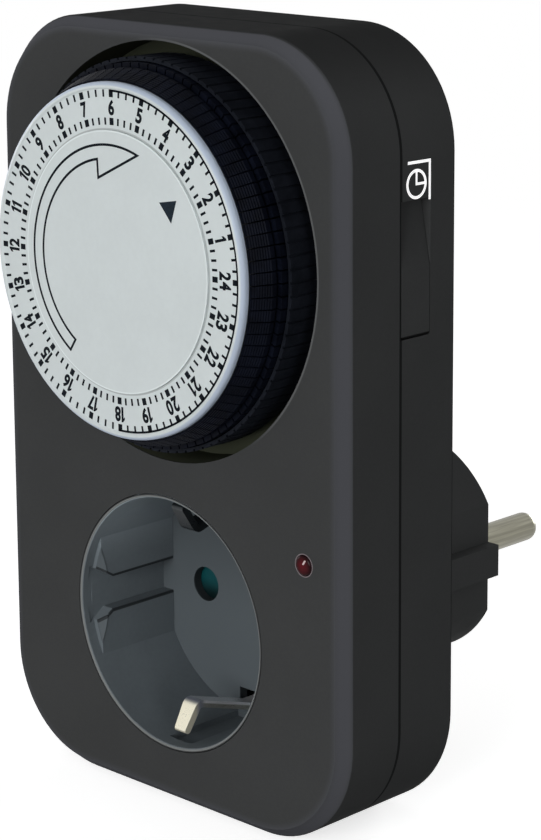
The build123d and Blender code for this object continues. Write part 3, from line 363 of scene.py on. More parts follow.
@dataclass(frozen=True)
class HousingPlastic(MouldedPlastic):
    """The housing's dark plastic, in mm of the housing's own sizes, with painted light and shade: painted
    highlights on its front bevel and around the dial's well; painted shade on the well's wall, in the joint
    between its two shells, along its back edge and on its top."""

    half_width: float = 36.5
    half_height: float = 60.0
    middle_z: float = 30.3
    corner: float = 17.5
    front_y: float = -56.5
    joint_y: float = -44.4
    back_y: float = -32.5
    skin: float = 0.1
    bevel_insets: Pair = (0.96, 2.88)
    bevel_depths: Pair = (1.5, 2.4)
    # painted highlight on the front bevel, lighter still towards the top
    edge_colour: RGB = (0.069, 0.071, 0.0795)
    edge_top_gain: float = 1.2
    edge_top_from: float = 72.0
    # painted shade on the top
    crown_from: float = 80.0
    crown_to: float = 90.2
    crown_gain: float = 0.68
    # painted shade in the joint between the two shells
    joint_half: float = 0.24
    joint_soft: float = 0.06
    joint_gain: float = 0.3
    # painted shade along the back edge of the side
    back_fade: Pair = (-0.55, -0.4)
    back_gain: float = 0.15
    well_z: float = 56.35
    well_edge: float = 31.75
    # painted highlight round the well's rim, on its lit side
    ring_half: float = 0.1
    ring_soft: float = 0.12
    ring_gain: float = 2.2
    ring_slope: float = 0.4
    ring_lit: Pair = (6.0, 20.0)
    # painted shade on the well's wall, with painted light towards its bottom
    wall_colour: RGB = (0.032, 0.035, 0.024)
    wall_low_gain: float = 1.8
    wall_low: float = -28.575
    wall_fade: float = 0.6

    def inset(self, x: Signal, z: Signal) -> Signal:
        """The distance in from the rounded outline: the corner's radius less the distance past its middle.

        Args:
            x: the place across.
            z: the height.

        Returns:
            The distance.
        """
        past_x = (x.size() - (self.half_width - self.corner)).at_least(0.0)
        past_z = ((z - self.middle_z).size() - (self.half_height - self.corner)).at_least(0.0)
        return self.corner - past_x.across(past_z)

    def well_wall(self, graph: Graph, radius: Signal, y: Signal) -> Signal:
        """1 on the well's wall: within its radius, behind the front and before the joint.

        Args:
            graph: the tree to add to.
            radius: the distance from the dial's axis.
            y: the depth.

        Returns:
            The mask.
        """
        inside = graph.falls(radius, self.well_edge, self.well_edge + self.skin)
        behind = graph.past(y, self.front_y, (0.0, self.wall_fade))
        return inside * behind * graph.falls(y, self.joint_y - self.wall_fade, self.joint_y - self.skin)

    def tint(self, graph: Graph) -> Socket:
        """The plain colour, then in turn the bevel's painted highlight, the painted highlight on the lit
        ring round the well, and painted shade on the well's wall, lighter low down, on the top, in the joint
        and along the back edge, each laid over it by its own mask.

        Args:
            graph: the tree to add to.

        Returns:
            The colour's socket.
        """
        x, y, z = graph.millimetres()
        up = z - self.well_z
        radius = x.across(up)
        inset = self.inset(x, z)
        front = graph.falls(y, *(self.front_y + depth for depth in self.bevel_depths))
        bevel = graph.falls(inset, *self.bevel_insets) * front
        # painted highlight: the bevel lighter, more so towards the top
        edge = graph.blend(graph.span(z, self.edge_top_from, self.crown_to), self.edge_colour,
                           scaled(self.edge_colour, self.edge_top_gain))
        # painted highlight on the well's rim, stronger on its lit side
        lit = graph.span(x + up * self.ring_slope, *self.ring_lit)
        ring = graph.near(radius, self.well_edge, self.ring_half, self.ring_soft) * front * lit
        # painted shade on the well's wall, lighter towards its bottom
        wall = graph.blend(graph.span(up, self.wall_low, 0.0), scaled(self.wall_colour, self.wall_low_gain),
                           self.wall_colour)
        # painted shade on the top
        crown = graph.span(z, self.crown_from, self.crown_to) * graph.falls(inset, self.skin, 3 * self.skin)
        # painted shade in the joint between the shells
        joint = graph.near(y, self.joint_y, self.joint_half, self.joint_soft)
        # painted shade along the back edge
        back = graph.past(y, self.back_y, self.back_fade) * graph.falls(inset, self.skin, 2 * self.skin)
        return graph.layers(super().tint(graph), (bevel, edge), (ring, self.shade(self.ring_gain)),
                            (self.well_wall(graph, radius, y), wall), (crown, self.shade(self.crown_gain)),
                            (joint, self.shade(self.joint_gain)), (back, self.shade(self.back_gain)))


@dataclass(frozen=True)
class LowDarkPlastic(MouldedPlastic):
    """Plastic with painted shade up to one height, plain above another, both in mm."""

    dark_to: float = 0.0
    plain_from: float = 1.0
    dark_gain: float = 0.1

    def tint(self, graph: Graph) -> Socket:
        """The plain colour with painted shade laid over its lower part."""
        low = graph.falls(graph.millimetres()[2], self.dark_to, self.plain_from)
        return graph.blend(low, super().tint(graph), self.shade(self.dark_gain))


@dataclass(frozen=True)
class DialPlastic(MouldedPlastic):
    """The white disc's plastic, with painted light and shade: a cooler painted sheen on its rolled rim, soft
    painted shade and a painted highlight at the step at its centre, and painted shade behind the riders'
    heads.
    """

    axis_z: float = 56.35
    rim_radius: float = 25.75
    rim_fade: Pair = (0.0, 0.3)
    # painted bluish sheen on the rolled rim
    rim_colour: RGB = (0.43, 0.50, 0.61)
    line_half: float = 0.06
    # painted shade at the centre's step and a painted highlight on the ridge inside it
    step_radius: float = 19.55
    step_soft: float = 0.14
    step_gain: float = 0.62
    ridge_radius: float = 19.3
    ridge_soft: float = 0.12
    ridge_gain: float = 1.2
    # painted shade where the disc's edge goes behind the riders' heads
    head_y: float = -64.8
    head_fade: Pair = (-0.1, 0.1)
    hidden_gain: float = 0.01

    def tint(self, graph: Graph) -> Socket:
        """The plain colour with a painted sheen, painted shade and a painted highlight by the distance from
        the dial's axis, and painted shade where the disc's edge goes down behind the riders' heads.

        Args:
            graph: the tree to add to.

        Returns:
            The colour's socket.
        """
        x, y, z = graph.millimetres()
        radius = x.across(z - self.axis_z)
        # painted sheen on the rolled rim
        rim = graph.past(radius, self.rim_radius, self.rim_fade)
        # painted shade at the step, painted highlight on the ridge
        step = graph.near(radius, self.step_radius, self.line_half, self.step_soft)
        ridge = graph.near(radius, self.ridge_radius, self.line_half, self.ridge_soft)
        # painted shade behind the riders' heads
        heads_shade = graph.past(y, self.head_y, self.head_fade)
        return graph.layers(super().tint(graph), (rim, self.rim_colour), (step, self.shade(self.step_gain)),
                            (ridge, self.shade(self.ridge_gain)), (heads_shade, self.shade(self.hidden_gain)))


@dataclass(frozen=True)
class SocketPlastic(MouldedPlastic):
    """The socket's grey plastic, with painted light and shade: a painted highlight on its lip, painted light
    on its ceiling, and painted shade in its contact holes, on its floor, on its lead-in cone and along its
    guide grooves.
    """

    axis_z: float = -1.0
    # painted highlight on the lip; outside it the lip takes the housing's tone
    lip_y: float = -56.35
    lip_depth: float = 0.05
    lip_radius: float = 19.68
    lip_half: float = 0.12
    lip_soft: float = 0.08
    lip_colour: RGB = (0.19, 0.20, 0.20)
    lip_outside: RGB = (0.050, 0.0516, 0.0522)
    floor_y: float = -39.0
    floor_fade: Pair = (-0.1, -0.02)
    # painted shade on the recess's floor, darker towards its top
    floor_gain: float = 0.7
    floor_top_gain: float = 0.5
    floor_shaded: Pair = (-6.0, 12.0)
    # painted light on the recess's ceiling
    ceiling: Pair = (4.0, 17.0)
    ceiling_gain: float = 2.3
    # painted shade in the contact holes
    hole_y: float = -38.95
    hole_fade: Pair = (-0.02, 0.25)
    hole_gain: float = 0.2
    wall_radius: float = 19.5
    wall_fade: Pair = (-0.12, -0.04)
    cheek_x: float = 17.0
    cheek_half: float = 0.3
    # painted shade on the lead-in cone
    cone_y: float = -53.0
    cone_half: float = 0.25
    cone_soft: float = 0.15
    cone_gain: float = 0.7
    groove_half: float = 2.7
    flare_y: float = -52.1
    flare_slope: float = 0.625
    # painted shade along the grooves' edges
    line_middle: float = 0.12
    line_half: float = 0.22
    line_soft: float = 0.1
    line_gain: float = 0.2

    def groove_line(self, graph: Graph, y: Signal, up: Signal) -> Signal:
        """1 along a groove's edges: where the height off the axis is half a groove, and more by the flare's
        slope before the flare's depth.

        Args:
            graph: the tree to add to.
            y: the depth.
            up: the height over the socket's axis.

        Returns:
            The mask.
        """
        edge = (self.flare_y - y).at_least(0.0) * self.flare_slope + self.groove_half
        return graph.near(up.size() - edge, self.line_middle, self.line_half, self.line_soft)

    def tint(self, graph: Graph) -> Socket:
        """The plain colour with painted light on the ceiling, then in turn painted shade on the lead-in
        cone, where radius plus depth is constant, on the grooves' lines on the cheeks and the cone, on the
        floor and in the contact holes, and a painted highlight on the lip.

        Args:
            graph: the tree to add to.

        Returns:
            The colour's socket.
        """
        x, y, z = graph.millimetres()
        up = z - self.axis_z
        radius = x.across(up)
        on_wall = graph.past(radius, self.wall_radius, self.wall_fade)
        # painted shade on the lead-in cone's facets
        on_cone = graph.near(radius + y, self.cheek_x + self.cone_y, self.cone_half, self.cone_soft)
        cone = on_cone * (1 - on_wall)
        # painted shade along the grooves' edges on the cheeks and the cone
        cheek = graph.near(x.size(), self.cheek_x, self.cheek_half, self.line_soft)
        cheek_back = graph.past(y, self.cone_y, (-self.line_soft, 0.0))
        line = self.groove_line(graph, y, up) * (cheek * cheek_back).at_least(cone)
        # painted shade on the floor, darker towards its top
        floor = graph.blend(graph.span(up, *self.floor_shaded), self.shade(self.floor_gain),
                            self.shade(self.floor_top_gain))
        # painted highlight on the lip
        light = graph.near(radius, self.lip_radius, self.lip_half, self.lip_soft)
        lip = graph.falls(y, self.lip_y - self.lip_depth, self.lip_y + self.lip_depth)
        return graph.layers(super().tint(graph),
                            # painted light on the ceiling
                            (graph.span(up, *self.ceiling), self.shade(self.ceiling_gain)),
                            (cone, self.shade(self.cone_gain)), (line, self.shade(self.line_gain)),
                            (graph.past(y, self.floor_y, self.floor_fade), floor),
                            # painted shade in the contact holes
                            (graph.past(y, self.hole_y, self.hole_fade), self.shade(self.hole_gain)),
                            (lip, graph.blend(light, self.lip_outside, self.lip_colour)))


@dataclass(frozen=True)
class WorkedMetal(Finish):
    """Plated, drawn or cut metal with fine streaks along its length and a cloudy polish."""

    roughness: float = 0.3
    streak_mm: float = 0.12
    streak_axis: int = 1
    streak_stretch: float = 0.04
    streak_values: Pair = (0.35, 0.65)
    streak_share: float = 0.12
    metallic: float = 1.0
    cloud_mm: float = 2.5
    tarnish: RGB = (0.35, 0.30, 0.22)
    tarnish_values: Pair = (0.52, 0.8)
    tarnish_share: float = 0.12
    streak_gloss: float = 0.6
    gloss_spread: Pair = (-0.08, 0.1)

    def tint(self, graph: Graph, plain: Socket) -> Socket:
        """The colour over the surface, here the plain one."""
        return plain

    def sockets(self, graph: Graph) -> dict[str, object]:
        """Streaks in the colour, tarnish over them in patches, and a polish that follows both.

        Args:
            graph: the tree to add to.

        Returns:
            The shader's inputs by name.
        """
        stretch = tuple(self.streak_stretch if axis == self.streak_axis else 1.0 for axis in range(3))
        streaks = graph.noise(self.streak_mm, stretch=stretch)
        clouds = graph.noise(self.cloud_mm, detail=3.0)
        drawn = graph.blend(graph.span(streaks, *self.streak_values), self.shade(1 - self.streak_share),
                            self.shade(1 + self.streak_share))
        dulled = graph.span(clouds, *self.tarnish_values, 0.0, self.tarnish_share)
        colour = graph.blend(dulled, drawn, self.tarnish)
        polish = streaks * self.streak_gloss + clouds * (1 - self.streak_gloss)
        gloss = graph.span(polish, *NOISE_WIDE, *(self.roughness + spread for spread in self.gloss_spread))
        return {"Base Color": self.tint(graph, colour), "Metallic": self.metallic, "Roughness": gloss}


@dataclass(frozen=True)
class ClipMetal(WorkedMetal):
    """The earth clips' plating, with painted light and shade: a warm painted highlight at the lower clip's
    tip, a painted highlight and shade along its arm, a painted reflection on its hump and painted shade on
    the upper clip.
    """

    hump_y: float = -51.3
    hump_z: float = -14.9
    hump_fade: Pair = (0.2, 1.4)
    # painted blue-grey reflection on the hump
    hump_colour: RGB = (0.30, 0.32, 0.38)
    arm_slope: float = -0.309
    arm_soft: float = 0.25
    # painted highlight on the arm's upper side, painted shade below
    arm_light: RGB = (0.93, 0.94, 1.0)
    arm_dark: RGB = (0.24, 0.24, 0.22)
    patch_mm: float = 0.35
    patch_share: float = 0.5
    tip_fade: Pair = (-0.9, 0.1)
    # painted warm highlight on the lower clip's tip
    tip_colour: RGB = (0.84, 0.80, 0.64)
    upper_z: float = 6.0
    upper_fade: Pair = (0.0, 2.0)
    # painted shade on the upper clip
    upper_colour: RGB = (0.022, 0.026, 0.029)

    def tint(self, graph: Graph, plain: Socket) -> Socket:
        """The arm's painted highlight and shade by the height over its middle line, which falls by its slope
        behind the hump; then the hump's painted reflection and the tip's painted highlight by depth, and
        painted shade on the upper clip.

        Args:
            graph: the tree to add to.
            plain: the colour with its streaks.

        Returns:
            The colour's socket.
        """
        _, y, z = graph.millimetres()
        behind = y - self.hump_y
        over = z - self.hump_z - behind * self.arm_slope
        # painted highlight and shade across the arm
        arm = graph.blend(graph.span(over, 0.0, self.arm_soft), self.arm_dark, self.arm_light)
        return graph.layers(arm, (graph.noise(self.patch_mm, detail=3.0) * self.patch_share, plain),
                            # painted reflection on the hump
                            (graph.falls(behind, *self.hump_fade), self.hump_colour),
                            # painted highlight on the tip
                            (graph.falls(behind, *self.tip_fade), self.tip_colour),
                            # painted shade on the upper clip
                            (graph.past(z, self.upper_z, self.upper_fade), self.upper_colour))


@dataclass(frozen=True)
class TintedLens(Finish):
    """Clear tinted plastic, deeper towards its edge, with a painted highlight up and to the right of its
    middle.
    """

    deep: RGB
    middle_mm: Triple
    radius_mm: float
    core_shares: Pair = (0.2, 1.25)
    swirl_mm: float = 0.8
    swirl_reach_mm: float = 0.6
    # a painted highlight: a bright slanted spot up and to the right of the middle
    electrode_at: Pair = (0.3, 0.55)
    electrode_half: Pair = (0.14, 0.3)
    electrode_soft: Pair = (0.06, 0.1)
    electrode_slant: float = 0.6
    electrode_colour: RGB = (0.62, 0.48, 0.48)
    smear_mm: float = 0.5
    gloss: Pair = (0.08, 0.16)
    ripple_mm: float = 0.7
    ripple_depth_mm: float = 0.01

    def electrode(self, graph: Graph) -> Signal:
        """1 on a short slanted patch up and to the right of the lens's middle, where the highlight is
        painted.

        Args:
            graph: the tree to add to.

        Returns:
            The mask.
        """
        x, _, z = graph.millimetres()
        over = z - (self.middle_mm[2] + self.electrode_at[1])
        beside = x - (self.middle_mm[0] + self.electrode_at[0]) - over * self.electrode_slant
        half, soft = self.electrode_half, self.electrode_soft
        return graph.near(beside, 0.0, half[0], soft[0]) * graph.near(over, 0.0, half[1], soft[1])

    def sockets(self, graph: Graph) -> dict[str, object]:
        """A colour that is brighter towards the middle by the distance from it, with a painted highlight
        over it, a smeared gloss and a faint ripple.

        Args:
            graph: the tree to add to.

        Returns:
            The shader's inputs by name.
        """
        swirl = graph.noise(self.swirl_mm) * (self.swirl_reach_mm * MM)
        reach = graph.away(tuple(c * MM for c in self.middle_mm)) + swirl
        core = graph.falls(reach, *(share * self.radius_mm * MM for share in self.core_shares))
        # the painted highlight is laid over the tinted colour
        return {"Base Color": graph.layers(self.deep, (core, self.colour),
                                           (self.electrode(graph), self.electrode_colour)),
                "Roughness": graph.span(graph.noise(self.smear_mm), *NOISE_CORE, *self.gloss),
                "Specular IOR Level": 0.05, "Coat Weight": 0.04, "Coat Roughness": 0.05,
                "Normal": graph.relief(graph.noise(self.ripple_mm, detail=1.0), self.ripple_depth_mm)}


@dataclass(frozen=True)
class Ink(Finish):
    """Pad-printed ink, slightly uneven in tone and gloss."""

    roughness: float = 0.45
    gloss_spread: float = 0.08
    # a glow is painted light: the ink gives off light as though lit
    glow: float = 0.0
    patch_mm: float = 0.35
    patch_values: Pair = (0.3, 0.75)
    tones: Pair = (0.85, 1.3)

    def sockets(self, graph: Graph) -> dict[str, object]:
        """A tone and a gloss in patches, and a glow where one is set.

        Args:
            graph: the tree to add to.

        Returns:
            The shader's inputs by name.
        """
        patches = graph.noise(self.patch_mm, detail=3.0)
        thin, thick = (self.shade(tone) for tone in self.tones)
        gloss = graph.span(patches, *NOISE_CORE, self.roughness - self.gloss_spread,
                           self.roughness + self.gloss_spread)
        return {"Base Color": graph.blend(graph.span(patches, *self.patch_values), thin, thick),
                "Roughness": gloss, "Specular IOR Level": 0.04, "Emission Color": (*self.colour, 1.0),
                "Emission Strength": self.glow}


def dress(material: bpy.types.Material, *nodes: str) -> None:
    """Gives CAD nodes a finish.

    Args:
        material: the finish.
        nodes: the nodes' names.
    """
    for name in nodes:
        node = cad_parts[name]
        if node.material_slots:
            for slot in node.material_slots:
                slot.material = material
        else:
            node.data.materials.append(material)
        log.info("dressed %s in %s", name, material.name)


# ------------------------------------------------------------------ meshes


@dataclass
class Shape:
    """Vertices in metres and faces, gathered before they become one mesh."""

    vertices: list[np.ndarray] = field(default_factory=list)
    faces: list[list[int]] = field(default_factory=list)
    count: int = 0

    def add(self, vertices: np.ndarray, *groups: np.ndarray) -> None:
        """Adds a patch.

        Args:
            vertices: its points, in rows of 3.
            groups: faces with the same number of corners, one row each, as indices into these points.
        """
        self.vertices.append(vertices.reshape(-1, 3))
        for group in groups:
            self.faces.extend((group + self.count).tolist())
        self.count += len(self.vertices[-1])

    def tube(self, rails: np.ndarray, closed: bool) -> None:
        """Adds a tube: stations i and section points j make quads (i, j), (i+1, j), (i+1, j+1), (i, j+1).

        Args:
            rails: stations by section points by 3.
            closed: whether the last station joins the first; otherwise both ends are capped.
        """
        stations, sides = rails.shape[:2]
        i, j = np.meshgrid(np.arange(stations if closed else stations - 1), np.arange(sides), indexing="ij")
        ahead, beside = (i + 1) % stations, (j + 1) % sides
        quads = np.stack((i * sides + j, ahead * sides + j, ahead * sides + beside, i * sides + beside), -1)
        end = np.arange(sides)
        caps = [] if closed else [np.stack((end, stations * sides - 1 - end))]
        self.add(rails, quads.reshape(-1, 4), *caps)

    def piece(self, name: str, material: bpy.types.Material, carrier: Carrier, slot: str,
              smooth: bool = False) -> None:
        """Makes the object, with its faces turned outwards, and puts it on its carrier.

        Args:
            name: the piece's name.
            material: its finish.
            carrier: the body that it rides on.
            slot: not used.
            smooth: whether its faces are shaded smoothly.
        """
        mesh = bpy.data.meshes.new(name)
        mesh.from_pydata(np.concatenate(self.vertices).tolist(), [], self.faces)
        loose = bmesh.new()
        loose.from_mesh(mesh)
        bmesh.ops.remove_doubles(loose, verts=loose.verts, dist=WELD)
        bmesh.ops.recalc_face_normals(loose, faces=loose.faces)
        loose.to_mesh(mesh)
        loose.free()
        mesh.polygons.foreach_set("use_smooth", np.full(len(mesh.polygons), smooth))
        mesh.materials.append(material)
        made = bpy.data.objects.new(name, mesh)
        bpy.context.scene.collection.objects.link(made)
        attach(made, carrier.value)
        log.info("made %s with %d faces", name, len(mesh.polygons))


@dataclass(frozen=True)
class PrintSurface:
    """A flat place for print: points (a, b) in mm and a height off it in mm give places in metres."""

    origin: Triple
    along_a: Triple
    along_b: Triple
    outward: Triple
    thickness: float = 0.02
    sunk: float = 0.01

    def at(self, points: np.ndarray, height: float | np.ndarray) -> np.ndarray:
        """Origin plus a times one axis, b times the other and the height times the outward axis.

        Args:
            points: rows of (a, b) in mm.
            height: how far they stand off the surface, in mm.

        Returns:
            The points in metres.
        """
        axes = np.array((self.along_a, self.along_b, self.outward))
        heights = np.broadcast_to(height, points.shape[:-1])[..., None]
        return (np.array(self.origin) + np.concatenate((points, heights), -1) @ axes) * MM

    def lay(self, shape: Shape, points: np.ndarray, *groups: np.ndarray) -> None:
        """Adds a thin solid whose levels run from 0, sunk under the surface, to 1, its full thickness.

        Args:
            shape: the shape to add to.
            points: rows of (a, b, level).
            groups: the solid's faces, in groups with the same number of corners.
        """
        heights = points[:, 2] * (self.thickness + self.sunk) - self.sunk
        shape.add(self.at(points[:, :2], heights), *groups)

    def band(self, shape: Shape, left: np.ndarray, right: np.ndarray, closed: bool) -> None:
        """Adds a thin plate between two edges, as a tube of rectangular section.

        Args:
            shape: the shape to add to.
            left: the points of one edge.
            right: the points of the other edge.
            closed: whether the plate runs round in a ring.
        """
        rails = np.stack((self.at(left, self.thickness), self.at(right, self.thickness),
                          self.at(right, -self.sunk), self.at(left, -self.sunk)), 1)
        shape.tube(rails, closed)

    def stroke(self, shape: Shape, path: np.ndarray, width: float, closed: bool = False) -> None:
        """Adds a line of constant width. Each edge is the path moved half a width along the mitre,
        the sum of the two neighbouring normals over one plus their dot product.

        Args:
            shape: the shape to add to.
            path: the line's points.
            width: the line's width in mm.
            closed: whether the line joins its own start.
        """
        ahead = np.roll(path, -1, 0) - path
        ahead /= np.linalg.norm(ahead, axis=1, keepdims=True)
        behind = np.roll(ahead, 1, 0)
        if not closed:
            ahead[-1] = behind[-1]
            behind[0] = ahead[0]
        turn = np.array(((0, 1), (-1, 0)))
        first, second = behind @ turn, ahead @ turn
        mitre = (first + second) / (1 + (first * second).sum(1, keepdims=True))
        self.band(shape, path + mitre * width / 2, path - mitre * width / 2, closed)

    def blocks(self, shape: Shape, angles: np.ndarray, inner: float, outer: float, width: float) -> None:
        """Adds rectangular ticks: corners at the inner and outer radius, half the width beside the ray.

        Args:
            shape: the shape to add to.
            angles: the ticks' directions in radians.
            inner: their inner radius in mm.
            outer: their outer radius in mm.
            width: their width in mm.
        """
        ray = np.stack((np.cos(angles), np.sin(angles)), -1)
        side = np.stack((-ray[:, 1], ray[:, 0]), -1) * width / 2
        near, far = ray * inner, ray * outer
        corners = np.stack((near - side, far - side, far + side, near + side), 1)
        both = np.stack((self.at(corners, self.thickness), self.at(corners, -self.sunk)), 1)
        sides = corners.shape[1]
        offsets = 2 * sides * np.arange(len(angles))[:, None, None]
        shape.add(both, (np.vstack(plate_faces(sides)) + offsets).reshape(-1, sides))


def arc(middle: Pair, radius: float, start: float, end: float, steps: int) -> np.ndarray:
    """Points of an arc: the middle plus the radius times (cos, sin) of evenly spaced angles.

    Args:
        middle: the arc's middle in mm.
        radius: its radius in mm.
        start: its first angle in degrees.
        end: its last angle in degrees.
        steps: the number of points.

    Returns:
        Rows of (a, b) in mm.
    """
    angles = np.radians(np.linspace(start, end, steps))
    return np.array(middle) + radius * np.stack((np.cos(angles), np.sin(angles)), -1)


def plate_faces(count: int) -> tuple[np.ndarray, np.ndarray]:
    """Faces of a plate whose outline's points are numbered on its front, then again on its back.

    Args:
        count: the number of points in the outline.

    Returns:
        The front and back, and a side for each edge.
    """
    here = np.arange(count)
    after = (here + 1) % count
    return np.stack((here, 2 * count - 1 - here)), np.stack((here, after, count + after, count + here), -1)


def plate(corners: np.ndarray) -> tuple[np.ndarray, ...]:
    """Thickens an outline: its points at level 1 and again at level 0.

    Args:
        corners: the outline's points, rows of (a, b).

    Returns:
        Rows of (a, b, level), then the groups of faces.
    """
    levels = np.repeat((1.0, 0.0), len(corners))[:, None]
    return np.hstack((np.vstack((corners, corners)), levels)), *plate_faces(len(corners))


@dataclass
class Numerals:
    """Condensed bold figures, each cut to one height and width."""

    height: float = 2.3
    width: float = 1.24
    gap: float = 0.15
    embolden: float = 0.04
    extrusion: float = 0.5
    curve_steps: int = 5
    one_width: float = 0.72
    one: tuple[Pair, ...] = ((0.42, 0), (1, 0), (1, 1), (0.62, 1), (0, 0.8), (0, 0.63), (0.42, 0.74))

    def __post_init__(self) -> None:
        """Reads the figures' outlines once; the one is drawn from its own corners."""
        self.widths = [self.one_width if value == 1 else self.width for value in range(10)]
        self.figures = [self._figure(str(value)) for value in range(10)]
        self.figures[1] = plate(np.array(self.one) * (self.one_width, self.height))

    def _figure(self, text: str) -> tuple[np.ndarray, ...]:
        """Turns one figure into triangles, its box moved to the origin and scaled to the set size.

        Args:
            text: the figure.

        Returns:
            Points as rows of (a, b, level) with level 0 behind and 1 in front, and triangles.
        """
        curve = bpy.data.curves.new("figure", "FONT")
        curve.body, curve.offset = text, self.embolden
        curve.extrude, curve.resolution_u = self.extrusion, self.curve_steps
        holder = bpy.data.objects.new("figure", curve)
        bpy.context.scene.collection.objects.link(holder)
        bpy.context.view_layer.update()
        mesh = bpy.data.meshes.new_from_object(holder.evaluated_get(bpy.context.evaluated_depsgraph_get()))
        mesh.calc_loop_triangles()
        points = np.zeros(3 * len(mesh.vertices), np.float32)
        mesh.vertices.foreach_get("co", points)
        triangles = np.zeros(3 * len(mesh.loop_triangles), np.int32)
        mesh.loop_triangles.foreach_get("vertices", triangles)
        bpy.data.objects.remove(holder)
        bpy.data.curves.remove(curve)
        bpy.data.meshes.remove(mesh)
        points = points.reshape(-1, 3).astype(float)
        low, high = points.min(0), points.max(0)
        size = np.array((self.width, self.height, 1.0))
        return (points - low) / (high - low) * size, triangles.reshape(-1, 3)

    def write(self, shape: Shape, surface: PrintSurface, text: str, radius: float, degrees: float) -> None:
        """Adds a number whose middle is at a radius and angle, its top pointing outwards.

        Args:
            shape: the shape to add to.
            surface: where it is printed.
            text: the number.
            radius: its middle's distance from the surface's origin in mm.
            degrees: its middle's direction.
        """
        figures = [int(figure) for figure in text]
        cursor = -(sum(self.widths[k] for k in figures) + self.gap * (len(text) - 1)) / 2
        turn = math.radians(degrees - 90)
        spin = np.array(((math.cos(turn), math.sin(turn)), (-math.sin(turn), math.cos(turn))))
        for figure in figures:
            points, *groups = self.figures[figure]
            flat = points[:, :2] + (cursor, radius - self.height / 2)
            surface.lay(shape, np.hstack((flat @ spin, points[:, 2:])), *groups)
            cursor += self.widths[figure] + self.gap


# ------------------------------------------------------------------ sub-assemblies


@dataclass
class Dial:
    """The white 24 hour disc with its printed rings, numbers, arrow and mark, and the black rider ring.
    Sizes are in mm and directions in degrees, anticlockwise from the right."""

    axis_z: float = 56.35
    print_y: float = -65.75
    cap_y: float = -66.0
    turn: float = 0.9
    hours: int = 24
    outer_ticks: Pair = (24.2, 25.25)
    inner_ticks: Pair = (20.15, 21.2)
    hour_width: float = 0.84
    quarter_width: float = 0.37
    day_arc_radius: float = 25.2
    day_arc_width: float = 0.42
    day_arc_half: float = 90.9
    day_arc_steps: int = 121
    number_radius: float = 22.7
    arrow_middle: Pair = (-0.4, -0.1)
    arrow_outer: float = 17.35
    arrow_inner: float = 15.3
    arrow_line: float = 0.38
    arrow_tip: float = 71.0
    arrow_neck: float = 101.0
    arrow_tail: float = 236.3
    arrow_steps: tuple[int, int] = (90, 80)
    arrow_barb: Pair = (-3.16, 12.2)
    mark: tuple[Pair, ...] = ((9.71, 10.04), (13.28, 10.7), (12.13, 7.29))

    def __post_init__(self) -> None:
        """Sets up the two printed levels and their inks."""
        axes = ((1, 0, 0), (0, 0, 1), (0, -1, 0))
        self.ring = PrintSurface((0, self.print_y, self.axis_z), *axes)
        self.cap = PrintSurface((0, self.cap_y, self.axis_z), *axes)
        self.ink = Ink((0.0035, 0.0055, 0.0085)).make("print_dark")
        self.grey_ink = Ink((0.012, 0.019, 0.027)).make("print_grey")

    def dress(self) -> None:
        """Finishes the disc, its centre, the drum and the riders."""
        white = DialPlastic((0.60, 0.65, 0.655), roughness=0.45, specular=0.4, grain_mm=0.5,
                            grain_depth_mm=0.006, clouds=0.025, cloud_mm=9.0)
        dress(white.make("dial_white"), "dial_face", "dial_cap")
        rider = MouldedPlastic((0.0024, 0.0032, 0.0066), roughness=0.45, specular=0.035, grain_mm=0.35,
                               grain_depth_mm=0.006, clouds=0.45, cloud_mm=3.0)
        dress(rider.make("rider_black"), *(f"riders_{hour:02d}" for hour in range(1, self.hours + 1)))
        drum = MouldedPlastic((0.0085, 0.010, 0.0140), roughness=0.5, specular=0.03, grain_mm=0.35,
                              grain_depth_mm=0.008, clouds=0.3, cloud_mm=3.0)
        dress(drum.make("drum_black"), "dial_drum")

    def ticks(self) -> None:
        """Two rings of quarter-hour ticks, wide on the hours, and an arc that joins half the outer ones."""
        quarters = np.arange(self.hours * 4)
        angles = np.radians(quarters * 360 / len(quarters) + self.turn)
        on_hour = quarters % 4 == 0
        shape = Shape()
        for inner, outer in (self.outer_ticks, self.inner_ticks):
            self.ring.blocks(shape, angles[on_hour], inner, outer, self.hour_width)
            self.ring.blocks(shape, angles[~on_hour], inner, outer, self.quarter_width)
        day = arc((0, 0), self.day_arc_radius, self.turn - self.day_arc_half, self.turn + self.day_arc_half,
                  self.day_arc_steps)
        self.ring.stroke(shape, day, self.day_arc_width)
        shape.piece("dial_ticks", self.ink, Carrier.DIAL, "dial_face")

    def numbers(self) -> None:
        """The hours, one every 15 degrees, counted anticlockwise from the right."""
        figures, shape = Numerals(), Shape()
        for hour in range(1, self.hours + 1):
            degrees = hour * 360 / self.hours + self.turn
            figures.write(shape, self.ring, str(hour), self.number_radius, degrees)
        shape.piece("dial_numbers", self.ink, Carrier.DIAL, "dial_face")

    def arrow(self) -> None:
        """An outlined arrow, out along the outer arc from tail to tip, in to the barb and back along the
        inner arc, and a solid mark on three corners."""
        out, back = self.arrow_steps
        outline = np.concatenate((
            arc(self.arrow_middle, self.arrow_outer, self.arrow_tail, self.arrow_tip, out),
            np.array([self.arrow_barb]),
            arc(self.arrow_middle, self.arrow_inner, self.arrow_neck, self.arrow_tail, back)))
        shape = Shape()
        self.cap.stroke(shape, outline, self.arrow_line, closed=True)
        shape.piece("dial_arrow", self.ink, Carrier.DIAL, "dial_cap")
        solid = Shape()
        self.cap.lay(solid, *plate(np.array(self.mark)))
        solid.piece("dial_mark", self.grey_ink, Carrier.DIAL, "dial_cap")

    def build(self) -> None:
        """Finishes the pieces and adds the print."""
        self.dress()
        self.ticks()
        self.numbers()
        self.arrow()


